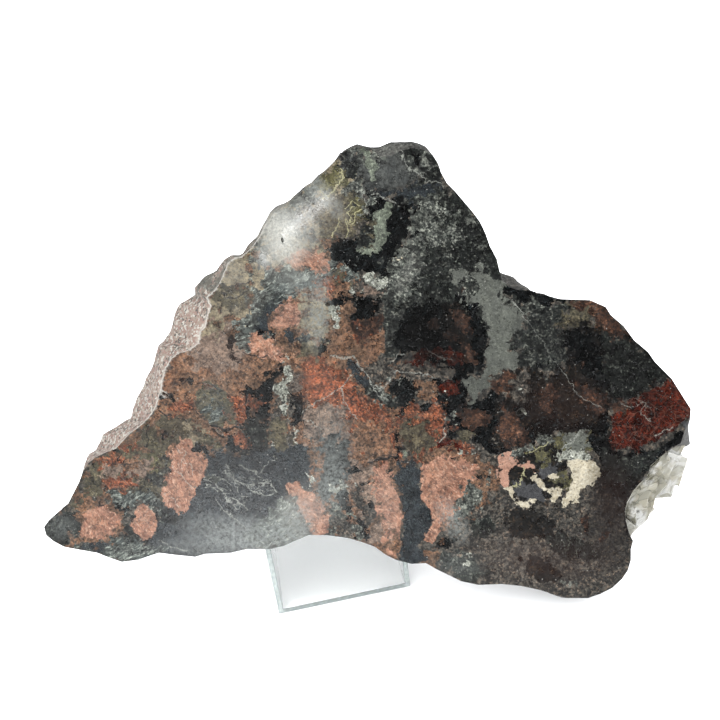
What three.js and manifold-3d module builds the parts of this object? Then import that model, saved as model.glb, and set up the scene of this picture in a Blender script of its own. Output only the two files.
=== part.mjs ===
// Skarn specimen on a clear display box, in millimetres, +Z up.
// One block of garnet rock is polished flat in front, broken on every other side, and keeps a bay of
// milky crystals at its right. It leans back on the box's top and on a small flat toe at its right.
// The origin is the centre of the box's base. The open side of the box faces -Y, the viewer.
import * as THREE from 'three';
import { mergeVertices } from 'three/addons/utils/BufferGeometryUtils.js';
import Module from 'manifold-3d';

const wasm = await Module();
wasm.setup();

// Display box
const BOX_WIDTH = 54;
const BOX_DEPTH = 54;
const BOX_HEIGHT = 38;
const BOX_WALL = 2;
const REST_GAP = 0.3;
const SIDE_GAP = 0.8;

// How the polished face stands: leaned back, tipped in its own plane, and turned to the box
const LEAN_DEG = 28;
const TIP_DEG = 7.5;
const TURN_DEG = 6.3;
const FACE_ORIGIN = new THREE.Vector3(20.7, -8.2, 96.7);

// Block sizes
const EDGE_STEP = 3.9;
const SIDE_TO_BACK = 8;
const ROLL_WIDTH = 17;
const ROLL_DROP = 4.6;
const FACE_CENTRE = [7.4, -14.9];
const CHIP_LEVEL = 0.2;
const CHIP_SLOPE = 0.6;
const CHIP_STEP = 1.6;
const BACK_CHIP = 21;
const SIDE_CHIP = 12;

// Edge of the polished face, counterclockwise, x to the right and y up in the face's own plane
const RIM = [
  // right shoulder, up to the notch beside the tall top
  [123.0, -18.2], [119.7, -13.0], [116.0, -7.1], [109.7, -0.7], [107.1, 3.0], [101.9, 7.4],
  [98.1, 12.6], [93.3, 16.7], [91.4, 19.7], [85.5, 22.3], [74.3, 22.7], [66.2, 24.9],
  [62.5, 26.0], [58.7, 26.0], [55.4, 27.1], [52.8, 29.4], [52.0, 32.7],
  // right side of the tall top
  [50.9, 37.5], [48.3, 42.4], [46.8, 46.8], [44.6, 51.3], [41.3, 55.8], [35.3, 62.8],
  [32.3, 65.8], [30.1, 69.9], [29.0, 73.2], [27.1, 76.2],
  // top
  [23.8, 78.1], [19.0, 78.8], [14.9, 77.7], [11.5, 75.8], [7.4, 75.5], [4.1, 78.8],
  [-0.7, 79.2], [-4.1, 78.4],
  // rolled edge, down to the left
  [-7.1, 76.6], [-10.0, 73.2], [-18.2, 66.5], [-27.9, 58.7], [-33.1, 54.6], [-35.7, 50.9],
  [-37.9, 46.5], [-41.3, 41.6], [-44.2, 38.3], [-46.5, 37.9],
  // left side, with broken rock standing out behind it
  [-49.1, 36.1], [-50.9, 31.2], [-53.5, 26.4], [-56.9, 23.0], [-55.4, 20.1], [-56.9, 15.6],
  [-57.6, 12.3], [-59.5, 10.4], [-59.9, 6.3], [-63.2, 3.7], [-67.3, 2.6], [-70.3, 0.4],
  [-72.5, -3.7], [-73.6, -7.8], [-74.0, -11.2], [-76.2, -18.2], [-78.8, -21.6], [-82.2, -24.9],
  [-85.5, -27.1], [-91.1, -33.1], [-95.2, -34.6], [-98.9, -36.4], [-101.1, -38.3],
  // left tip
  [-103.0, -41.6], [-104.5, -45.4], [-108.6, -53.5], [-112.3, -56.5], [-115.6, -59.5],
  [-117.5, -62.1], [-116.7, -65.1], [-114.1, -67.3], [-110.0, -69.5],
  // underside of the left arm
  [-104.1, -70.6], [-97.8, -71.7], [-92.9, -73.6], [-88.5, -75.1], [-82.2, -74.3],
  [-78.4, -72.9], [-74.7, -71.7], [-68.4, -72.5], [-61.3, -73.2], [-57.6, -72.1],
  // arch over the box
  [-48.0, -71.7], [-42.0, -70.3], [-33.5, -70.3], [-28.3, -69.1], [-23.4, -66.9], [-19.0, -65.1],
  [-12.3, -65.1], [-4.5, -66.2], [0.7, -67.7], [5.6, -69.5], [9.7, -72.5], [13.4, -74.3],
  [19.3, -75.8], [24.5, -75.5],
  // underside of the right arm, down to the toe
  [28.3, -77.7], [37.5, -82.2], [43.9, -83.6], [52.8, -83.3], [59.9, -84.0], [66.9, -85.5],
  [72.9, -87.4], [77.3, -88.5], [84.8, -88.5], [89.2, -87.0],
  // right end below the crystals
  [93.7, -84.8], [97.4, -81.4], [99.6, -78.1], [100.7, -74.3], [100.7, -70.3], [101.5, -67.3],
  // edge beside the crystal bay
  [100.0, -64.3], [98.9, -60.2], [98.5, -56.1], [99.3, -52.8], [101.5, -48.7], [104.1, -45.7],
  [106.7, -43.1], [107.8, -39.4], [111.2, -36.4], [115.2, -33.1], [119.3, -30.9],
  [120.8, -26.0], [122.7, -22.3],
];

// How far the broken sides stand out past the rim at the block's widest line, by bearing in degrees.
// Below zero the side is undercut, as it is over the box.
const FLARE = [
  [0, 1.4], [22, 0.8], [35, 1.2], [37.6, 4.8], [42, 6.3], [46, 4.6], [50, 0.8], [76, 1],
  [80.5, 5], [85, 7.7], [89.5, 9.2], [92, 4.5], [95, 4.6], [100, 3.5], [134, 3.3], [137, 4.2],
  [145, 8.1], [149.5, 8.6], [153, 12.5], [156.5, 14.2], [163, 14.5], [166, 12], [169.6, 9.2],
  [173, 8.4], [177.5, 10.6], [182, 12.1], [185.6, 9.3], [187, 14.5], [190.3, 11.7],
  [191.7, 6.6], [193, 3], [200, 1.5], [206, 0], [225, -2], [232, -5], [240, -8], [262, -9],
  [277, -12], [286, -12], [294, -7], [303, -1], [310, 0.5], [320, 0.5], [330, 0], [334, 3], [338, 7],
  [342, 8], [347, 7], [350, 8], [351.5, 9.5], [353.5, 9.8], [355, 7], [357, 2.6], [360, 2],
];

// Depth of the block's widest line behind the face, by bearing
const WIDEST_DEPTH = [
  [0, 20], [40, 20], [70, 16], [80, 13], [100, 14], [130, 15], [145, 14], [190, 14], [205, 12],
  [230, 14], [280, 15], [295, 20], [322, 22], [335, 18], [345, 16], [360, 20],
];

// Broken back: flat fracture planes, each by the bearing it falls towards, its depth at the centre
// and its slope. The rock reaches to the shallowest of them.
const FRACTURES = [
  [20, 52, 0.25], [65, 58, 0.37], [108, 55, 0.33], [150, 54, 0.3], [176, 60, 0.37],
  [203, 56, 0.31], [250, 58.5, 0.62], [288, 61, 0.32], [318, 64, 0.31], [345, 57, 0.29],
  [120, 45, 0.05], [300, 47, 0.09],
];

// Ledges across the back: a line by its bearing and distance from the centre, and the step down
const LEDGES = [
  [70, 22, 3.2],
  [168, 58, 2.8],
  [335, 64, 2.6],
];

// Pits in the polished face: place, half width, half height, depth and turn in degrees
const PITS = [
  [59.7, -19.3, 2.6, 1.8, 3.2, 35],
  [-72.6, -12.8, 2.4, 1.1, 2.6, -35],
  [-29.0, 44.8, 0.9, 1.9, 2.4, 10],
  [-72.2, -28.4, 1.1, 1.1, 2.0, 0],
  [-52.4, -26.6, 2.9, 1.0, 2.2, -40],
  [-56.0, -9.6, 3.0, 0.8, 1.8, -22],
  [-12.0, 20.8, 1.6, 1.3, 1.8, 0],
];

// Crystals of the bay: place on and behind the face plane, length, width, thickness, and turn
const CRYSTALS = [
  [114.3, -36.3, -6.0, 15, 7, 8, 42],
  [117.6, -40.0, -9.5, 12, 8, 9, 66],
  [110.3, -40.0, -6.5, 12, 8, 8, 30],
  [114.8, -44.4, -10.0, 12, 8, 8, 52],
  [107.3, -44.2, -6.0, 9, 6, 7, 18],
  [110.9, -48.3, -9.0, 12, 8, 8, 40],
  [105.2, -48.6, -7.5, 10, 7, 8, 8],
  [108.9, -52.2, -11.0, 11, 7, 8, 50],
  [103.2, -52.8, -8.0, 9, 7, 8, -12],
  [106.0, -55.9, -11.0, 10, 7, 8, 34],
  [101.8, -57.0, -8.5, 8, 7, 8, 64],
  [103.2, -60.4, -10.5, 8, 6, 8, 24],
  [100.6, -63.0, -9.0, 6, 6, 8, 50],
];
const CLEAVAGE_SHEAR = 0.27;

// Repeatable noise, 0 to 1, smooth between whole numbers
const NOISE_SEED = 4.7;

function cellValue(i, j, k) {
  const mixed = Math.sin(i * 127.1 + j * 311.7 + k * 74.7 + NOISE_SEED) * 43758.5453;
  return mixed - Math.floor(mixed);
}

function smoothNoise(x, y, z) {
  const corner = [Math.floor(x), Math.floor(y), Math.floor(z)];
  const part = [x - corner[0], y - corner[1], z - corner[2]].map((t) => t * t * (3 - 2 * t));
  let sum = 0;
  for (const i of [0, 1]) {
    for (const j of [0, 1]) {
      for (const k of [0, 1]) {
        const share = (i ? part[0] : 1 - part[0]) * (j ? part[1] : 1 - part[1])
          * (k ? part[2] : 1 - part[2]);
        sum += share * cellValue(corner[0] + i, corner[1] + j, corner[2] + k);
      }
    }
  }
  return sum;
}

// Noise of a given grain in millimetres, from -1 to 1
function roughness(x, y, z, grain) {
  return 2 * smoothNoise(x / grain, y / grain, z / grain) - 1;
}

// Height of a broken surface made of flat chips: each cell has a level and a slope of its own,
// and neighbouring chips meet in a short steep step
function chipHeight(x, y, cell) {
  const chips = [];
  for (const i of [-1, 0, 1]) {
    for (const j of [-1, 0, 1]) {
      const column = Math.floor(x / cell) + i;
      const row = Math.floor(y / cell) + j;
      const fromX = x - (column + cellValue(column, row, 1)) * cell;
      const fromY = y - (row + cellValue(column, row, 2)) * cell;
      const level = (cellValue(column, row, 3) - 0.5) * CHIP_LEVEL * cell;
      const slopeX = (cellValue(column, row, 4) - 0.5) * CHIP_SLOPE;
      const slopeY = (cellValue(column, row, 5) - 0.5) * CHIP_SLOPE;
      chips.push([Math.hypot(fromX, fromY), level + slopeX * fromX + slopeY * fromY]);
    }
  }
  const nearest = Math.min(...chips.map(([distance]) => distance));
  let total = 0;
  let height = 0;
  chips.forEach(([distance, chip]) => {
    const share = Math.exp((nearest - distance) / CHIP_STEP);
    total += share;
    height += share * chip;
  });
  return height / total;
}

// Value at a bearing, in straight stretches between the listed ones
function alongBearings(stops, bearing) {
  const after = stops.findIndex((stop) => stop[0] >= bearing);
  if (after <= 0) {
    return stops[0][1];
  }
  const [fromBearing, fromValue] = stops[after - 1];
  const [toBearing, toValue] = stops[after];
  return fromValue + (toValue - fromValue) * (bearing - fromBearing) / (toBearing - fromBearing);
}

function blend(from, to, t) {
  return from + (to - from) * t;
}

// The rim in short steps, each with its bearing and reach from the face's centre
function stepRim() {
  const steps = [];
  RIM.forEach((point, i) => {
    const next = RIM[(i + 1) % RIM.length];
    const run = Math.hypot(next[0] - point[0], next[1] - point[1]);
    const count = Math.max(1, Math.round(run / EDGE_STEP));
    for (let k = 0; k < count; k += 1) {
      const x = blend(point[0], next[0], k / count);
      const y = blend(point[1], next[1], k / count);
      const across = x - FACE_CENTRE[0];
      const up = y - FACE_CENTRE[1];
      const bearing = (THREE.MathUtils.radToDeg(Math.atan2(up, across)) + 360) % 360;
      steps.push({ x, y, bearing, reach: Math.hypot(across, up) });
    }
  });
  return steps.sort((a, b) => a.bearing - b.bearing);
}

// How much of the rolled edge a bearing has: all of it on the upper left, none elsewhere
function rollShare(bearing) {
  const rise = THREE.MathUtils.smoothstep(bearing, 99, 106);
  const fall = 1 - THREE.MathUtils.smoothstep(bearing, 128, 136);
  return rise * fall;
}

// A point on the polished face at a share of the way out to the rim
function facePoint(step, share) {
  const inward = (1 - share) * step.reach;
  const rolled = Math.max(0, 1 - inward / ROLL_WIDTH) ** 2 * ROLL_DROP * rollShare(step.bearing);
  return [
    blend(FACE_CENTRE[0], step.x, share),
    blend(FACE_CENTRE[1], step.y, share),
    -rolled,
  ];
}

// A point of the broken side at a share of the way back to the widest line
function sidePoint(step, share) {
  const flare = alongBearings(FLARE, step.bearing) * share ** 0.8;
  const widest = alongBearings(WIDEST_DEPTH, step.bearing);
  const chip = 0.6 * chipHeight(1.5 * step.bearing, 1.3 * widest * share, SIDE_CHIP)
    + 0.6 * roughness(step.x, step.y, 40 * share, 4) - 0.4;
  const out = flare + chip * Math.min(1, 3 * share);
  const start = facePoint(step, 1)[2];
  const depth = widest * share * (1 + 0.16 * roughness(step.x, step.y, 7, 17));
  const reach = (step.reach + out) / step.reach;
  return [
    blend(FACE_CENTRE[0], step.x, reach),
    blend(FACE_CENTRE[1], step.y, reach),
    start - depth,
  ];
}

// Depth of the broken back below a place on the face plane
function backDepth(x, y) {
  const across = x - FACE_CENTRE[0];
  const up = y - FACE_CENTRE[1];
  const along = (bearing) => {
    const angle = THREE.MathUtils.degToRad(bearing);
    return across * Math.cos(angle) + up * Math.sin(angle);
  };
  let depth = Math.min(...FRACTURES.map(([bearing, deep, slope]) => deep - slope * along(bearing)));
  LEDGES.forEach(([bearing, distance, drop]) => {
    depth -= drop * THREE.MathUtils.smoothstep(along(bearing) - distance, -1.5, 1.5);
  });
  return depth + chipHeight(x, y, BACK_CHIP) + 0.9 * roughness(x, y, 9, 6);
}

// A point of the broken back at a share of the way out to the widest line
function backPoint(step, share) {
  const widest = sidePoint(step, 1);
  const sway = 1.6 * roughness(step.x * share, step.y * share, 60 * share, 7);
  const reach = share + sway * share / step.reach;
  const x = blend(FACE_CENTRE[0], widest[0], reach);
  const y = blend(FACE_CENTRE[1], widest[1], reach);
  const turned = THREE.MathUtils.smoothstep((1 - share) * step.reach, 0, SIDE_TO_BACK);
  const depth = blend(-widest[2] + 1, Math.max(backDepth(x, y), -widest[2] + 1), turned);
  return [x, y, -depth];
}

// Triangles between two rings that may have different counts, walked round by their bearings
function stitch(triangles, inner, outer) {
  let i = 0;
  let j = 0;
  const at = (ring, n) => ring.ids[n % ring.ids.length];
  const turn = (ring, n) => ring.turns[n % ring.turns.length] + (n >= ring.turns.length ? 360 : 0);
  while (i < inner.ids.length || j < outer.ids.length) {
    const stepInner = j >= outer.ids.length
      || (i < inner.ids.length && turn(inner, i + 1) < turn(outer, j + 1));
    if (stepInner) {
      triangles.push(at(inner, i), at(outer, j), at(inner, i + 1));
      i += 1;
    } else {
      triangles.push(at(inner, i), at(outer, j), at(outer, j + 1));
      j += 1;
    }
  }
}

// Closed block: polished face, broken sides and broken back, ring by ring
function blockGeometry() {
  const rim = stepRim();
  const positions = [];
  const triangles = [];
  const addRing = (place, share, thin) => {
    const kept = rim.filter((step, n) => n % thin === 0);
    const ids = kept.map((step) => {
      positions.push(...place(step, share));
      return positions.length / 3 - 1;
    });
    return { ids, turns: kept.map((step) => step.bearing) };
  };
  const rings = [
    addRing(facePoint, 0.45, 4), addRing(facePoint, 0.72, 2), addRing(facePoint, 0.84, 1),
    addRing(facePoint, 0.92, 1), addRing(facePoint, 0.97, 1), addRing(facePoint, 1, 1),
    ...[0.1, 0.28, 0.5, 0.75, 1].map((share) => addRing(sidePoint, share, 1)),
    ...[0.975, 0.94, 0.895, 0.85, 0.8, 0.75, 0.7].map((share) => addRing(backPoint, share, 1)),
    ...[0.64, 0.575, 0.51, 0.445, 0.38].map((share) => addRing(backPoint, share, 2)),
    ...[0.31, 0.23, 0.15, 0.07].map((share) => addRing(backPoint, share, 4)),
  ];
  for (let n = 0; n + 1 < rings.length; n += 1) {
    stitch(triangles, rings[n], rings[n + 1]);
  }
  const closeFan = (ring, centre, facing) => {
    positions.push(...centre);
    const hub = positions.length / 3 - 1;
    ring.ids.forEach((id, n) => {
      const next = ring.ids[(n + 1) % ring.ids.length];
      triangles.push(...(facing ? [hub, id, next] : [hub, next, id]));
    });
  };
  const [x, y] = FACE_CENTRE;
  closeFan(rings[0], [x, y, 0], true);
  closeFan(rings[rings.length - 1], [x, y, -backDepth(x, y)], false);
  const geometry = new THREE.BufferGeometry();
  geometry.setAttribute('position', new THREE.Float32BufferAttribute(positions, 3));
  geometry.setIndex(triangles);
  return geometry;
}

// A closed geometry as a solid that can be joined and cut
function solid(geometry) {
  const bare = geometry.clone();
  bare.deleteAttribute('normal');
  bare.deleteAttribute('uv');
  const merged = mergeVertices(bare, 1e-5);
  return new wasm.Manifold(new wasm.Mesh({
    numProp: 3,
    vertProperties: new Float32Array(merged.attributes.position.array),
    triVerts: new Uint32Array(merged.index.array),
  }));
}

function geometryOf(body) {
  const mesh = body.getMesh();
  const geometry = new THREE.BufferGeometry();
  geometry.setAttribute('position', new THREE.Float32BufferAttribute(mesh.vertProperties, 3));
  geometry.setIndex(Array.from(mesh.triVerts));
  geometry.computeVertexNormals();
  return geometry;
}

// One pit: a blunt eight-sided cone, point down, let into the face
function pitGeometry([x, y, halfWidth, halfHeight, depth, turn]) {
  const cone = new THREE.CylinderGeometry(1.15, 0.35, 2, 8);
  cone.rotateX(Math.PI / 2);
  cone.scale(halfWidth, halfHeight, depth);
  cone.rotateZ(THREE.MathUtils.degToRad(turn));
  cone.translate(x, y, 0);
  return cone;
}

// One cleaved crystal: a leaning block whose faces are all flat
function crystalGeometry([x, y, z, length, width, thickness, turn], number) {
  const block = new THREE.BoxGeometry(length, width, thickness);
  const lean = new THREE.Matrix4().makeShear(CLEAVAGE_SHEAR, 0, 0, 0, CLEAVAGE_SHEAR, 0);
  block.applyMatrix4(lean);
  block.rotateX(0.55 * Math.sin(2.3 * number + 0.4));
  block.rotateY(0.5 * Math.cos(1.7 * number + 0.9));
  block.rotateZ(THREE.MathUtils.degToRad(turn));
  block.translate(x, y, z);
  return block;
}

// From the face's own frame to the specimen's
const stance = new THREE.Matrix4().makeTranslation(FACE_ORIGIN);
stance.multiply(new THREE.Matrix4().makeRotationZ(-THREE.MathUtils.degToRad(TURN_DEG)));
stance.multiply(new THREE.Matrix4().makeRotationX(THREE.MathUtils.degToRad(90 - LEAN_DEG)));
stance.multiply(new THREE.Matrix4().makeRotationZ(-THREE.MathUtils.degToRad(TIP_DEG)));

function skarnGeometry() {
  let rock = solid(blockGeometry());
  CRYSTALS.forEach((crystal, number) => {
    rock = rock.add(solid(crystalGeometry(crystal, number)));
  });
  PITS.forEach((pit) => {
    rock = rock.subtract(solid(pitGeometry(pit)));
  });
  const standing = solid(geometryOf(rock).applyMatrix4(stance));

  // Flat toe on the ground, and the ledge that sits on the box
  const ground = new THREE.BoxGeometry(600, 600, 100).translate(0, 0, -50);
  const seatHeight = BOX_HEIGHT + REST_GAP;
  const seat = new THREE.BoxGeometry(BOX_WIDTH + 2 * SIDE_GAP, BOX_DEPTH + 2 * SIDE_GAP, seatHeight);
  seat.translate(0, 0, seatHeight / 2);
  return geometryOf(standing.subtract(solid(ground)).subtract(solid(seat)));
}

// Five-sided clear box, open in front
function boxGeometry() {
  const outer = new THREE.BoxGeometry(BOX_WIDTH, BOX_DEPTH, BOX_HEIGHT);
  outer.translate(0, 0, BOX_HEIGHT / 2);
  const inside = new THREE.BoxGeometry(
    BOX_WIDTH - 2 * BOX_WALL,
    BOX_DEPTH,
    BOX_HEIGHT - 2 * BOX_WALL,
  );
  inside.translate(0, -BOX_WALL, BOX_HEIGHT / 2);
  return geometryOf(solid(outer).subtract(solid(inside)));
}

const specimen = new THREE.Group();

const skarn = new THREE.Mesh(
  skarnGeometry(),
  new THREE.MeshStandardMaterial({ color: 0x6b5a4c, roughness: 0.45, metalness: 0, flatShading: true }),
);
skarn.name = 'skarn';
specimen.add(skarn);

const stand = new THREE.Mesh(
  boxGeometry(),
  new THREE.MeshStandardMaterial({
    color: 0xeef3f2,
    roughness: 0.06,
    metalness: 0,
    transparent: true,
    opacity: 0.25,
  }),
);
stand.name = 'stand';
specimen.add(stand);

export default specimen;
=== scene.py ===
"""Looks of a polished skarn specimen that leans back on a clear display box."""
import math
from collections import namedtuple

import bmesh
import bpy
import numpy as np
from mathutils import Matrix, Vector


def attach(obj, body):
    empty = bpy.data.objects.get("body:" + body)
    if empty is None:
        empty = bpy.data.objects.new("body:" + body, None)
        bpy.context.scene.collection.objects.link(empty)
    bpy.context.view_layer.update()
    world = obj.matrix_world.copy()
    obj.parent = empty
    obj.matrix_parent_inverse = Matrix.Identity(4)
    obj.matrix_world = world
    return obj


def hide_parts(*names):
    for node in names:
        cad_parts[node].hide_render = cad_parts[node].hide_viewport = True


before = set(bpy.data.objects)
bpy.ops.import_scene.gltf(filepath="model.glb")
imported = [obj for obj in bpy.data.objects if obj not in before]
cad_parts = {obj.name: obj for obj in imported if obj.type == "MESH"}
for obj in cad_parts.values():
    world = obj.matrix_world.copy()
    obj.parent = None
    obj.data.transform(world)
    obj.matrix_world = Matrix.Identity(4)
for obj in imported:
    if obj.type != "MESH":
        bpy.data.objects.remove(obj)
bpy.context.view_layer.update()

MM = 0.001

# Stance of the stone: its polished face leans back and is turned a little

LEAN = math.radians(28)
TIP = math.radians(7.5)
TURN = math.radians(6.3)
FACE_ORIGIN = Vector((20.7, -8.2, 96.7)) * MM
STANCE = (
    Matrix.Rotation(-TURN, 3, "Z")
    @ Matrix.Rotation(math.pi / 2 - LEAN, 3, "X")
    @ Matrix.Rotation(-TIP, 3, "Z")
)

# Outlines on the face are read on a sheet 720 units wide, x to the right and y down

SHEET_MIDDLE = 360.0
UNITS_PER_MM = 2.69
EYE_DISTANCE = 316.0
LENS = 42.5
SENSOR_WIDTH = 36


# Camera

def add_camera():
    """Looks straight at the polished face from a third of a metre."""
    data = bpy.data.cameras.new("camera")
    data.sensor_width = SENSOR_WIDTH
    data.lens = LENS
    data.clip_start = 0.01
    data.clip_end = 50
    camera = bpy.data.objects.new("camera", data)
    eye = FACE_ORIGIN + STANCE.col[2] * EYE_DISTANCE * MM
    camera.matrix_world = Matrix.Translation(eye) @ STANCE.to_4x4()
    bpy.context.scene.collection.objects.link(camera)
    bpy.context.scene.camera = camera


add_camera()


# Minerals: four colours as seen, the shares of light and dark grains, the cloudiness, how ragged
# and how soft the border is in mm, the roughness, and the kind of grain

Mineral = namedtuple(
    "Mineral", "main second light dark light_share dark_share cloudiness ragged soft roughness kind"
)

MINERALS = {
    "granular": Mineral(
        (98, 92, 82), (72, 69, 63), (146, 126, 106), (24, 24, 23),
        0.18, 0.46, 1.2, 1.2, 0.35, 0.32, "grainy"),
    "slate": Mineral(
        (56, 62, 66), (43, 48, 52), (92, 104, 103), (30, 34, 36),
        0.08, 0.10, 0.9, 1.2, 0.25, 0.26, "plain"),
    "ash": Mineral(
        (106, 110, 100), (80, 84, 78), (172, 174, 160), (32, 36, 34),
        0.30, 0.44, 1.2, 2.8, 0.16, 0.32, "grainy"),
    "speckled": Mineral(
        (68, 72, 66), (44, 48, 45), (148, 150, 136), (20, 23, 22),
        0.20, 0.36, 1.5, 2.2, 0.25, 0.32, "grainy"),
    "peppered": Mineral(
        (44, 48, 44), (29, 33, 31), (124, 128, 116), (13, 15, 15),
        0.12, 0.32, 1.3, 2.0, 0.30, 0.30, "grainy"),
    "black": Mineral(
        (11, 12, 13), (21, 25, 26), (56, 66, 68), (4, 5, 5),
        0.07, 0.28, 1.4, 1.6, 0.08, 0.26, "streaked"),
    "pink_garnet": Mineral(
        (186, 132, 104), (156, 107, 85), (222, 178, 150), (110, 72, 57),
        0.20, 0.10, 0.8, 0.55, 0.20, 0.30, "fibrous"),
    "orange_garnet": Mineral(
        (168, 84, 45), (126, 67, 38), (208, 132, 88), (60, 36, 24),
        0.16, 0.24, 1.4, 1.9, 0.45, 0.30, "fibrous"),
    "red_garnet": Mineral(
        (98, 30, 8), (68, 20, 8), (150, 68, 36), (26, 10, 6),
        0.10, 0.28, 1.3, 1.1, 0.20, 0.26, "mottled"),
    "brown_garnet": Mineral(
        (156, 112, 82), (124, 94, 71), (188, 150, 120), (58, 44, 36),
        0.16, 0.22, 1.2, 2.4, 0.70, 0.30, "mottled"),
    "mauve": Mineral(
        (150, 126, 108), (126, 106, 92), (182, 160, 140), (74, 62, 54),
        0.14, 0.20, 1.1, 2.2, 0.70, 0.30, "mottled"),
    "olive": Mineral(
        (122, 110, 82), (96, 90, 70), (160, 148, 112), (46, 44, 36),
        0.16, 0.24, 1.2, 2.4, 0.60, 0.30, "mottled"),
    "tan": Mineral(
        (154, 140, 112), (130, 118, 94), (188, 176, 146), (78, 72, 58),
        0.14, 0.18, 1.0, 2.2, 0.60, 0.32, "mottled"),
    "yellow": Mineral(
        (134, 128, 82), (104, 100, 68), (176, 170, 114), (60, 58, 42),
        0.16, 0.22, 1.0, 1.6, 0.45, 0.28, "mottled"),
    "teal": Mineral(
        (100, 106, 99), (66, 74, 72), (170, 176, 164), (28, 33, 33),
        0.30, 0.36, 1.4, 2.2, 0.30, 0.30, "streaked"),
    "pale_green": Mineral(
        (140, 148, 128), (112, 120, 103), (182, 190, 166), (58, 64, 55),
        0.18, 0.16, 0.9, 0.7, 0.18, 0.32, "plain"),
    "steel": Mineral(
        (116, 119, 109), (102, 105, 97), (146, 148, 137), (66, 68, 63),
        0.12, 0.14, 0.4, 1.3, 0.06, 0.28, "plain"),
    "cream": Mineral(
        (228, 217, 190), (206, 193, 164), (248, 241, 221), (140, 126, 98),
        0.16, 0.10, 0.4, 0.7, 0.06, 0.30, "plain"),
    "copper": Mineral(
        (206, 156, 132), (190, 142, 120), (224, 180, 154), (150, 108, 88),
        0.12, 0.08, 0.4, 0.6, 0.06, 0.28, "plain"),
    "smooth_grey": Mineral(
        (80, 82, 78), (60, 63, 62), (108, 109, 104), (44, 47, 46),
        0.10, 0.14, 1.4, 1.5, 0.60, 0.28, "plain"),
    "brown_field": Mineral(
        (42, 37, 30), (28, 26, 23), (86, 66, 48), (13, 12, 11),
        0.12, 0.28, 1.4, 2.2, 0.70, 0.30, "grainy"),
    "rust": Mineral(
        (112, 72, 48), (80, 52, 37), (150, 104, 76), (38, 26, 20),
        0.14, 0.28, 1.4, 1.8, 0.40, 0.32, "grainy"),
    "lead": Mineral(
        (86, 86, 88), (74, 74, 76), (112, 114, 114), (54, 56, 58),
        0.08, 0.08, 0.5, 0.7, 0.08, 0.26, "plain"),
    "silver": Mineral(
        (186, 188, 172), (146, 148, 134), (232, 233, 220), (54, 56, 50),
        0.28, 0.28, 0.8, 1.9, 0.08, 0.32, "grainy"),
}
NAMES = list(MINERALS)

# Minerals that darken towards their borders

ZONED = ("orange_garnet", "olive", "rust", "yellow", "brown_field")

# Outlines of the mineral patches, from the widest fields to the smallest grains

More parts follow.
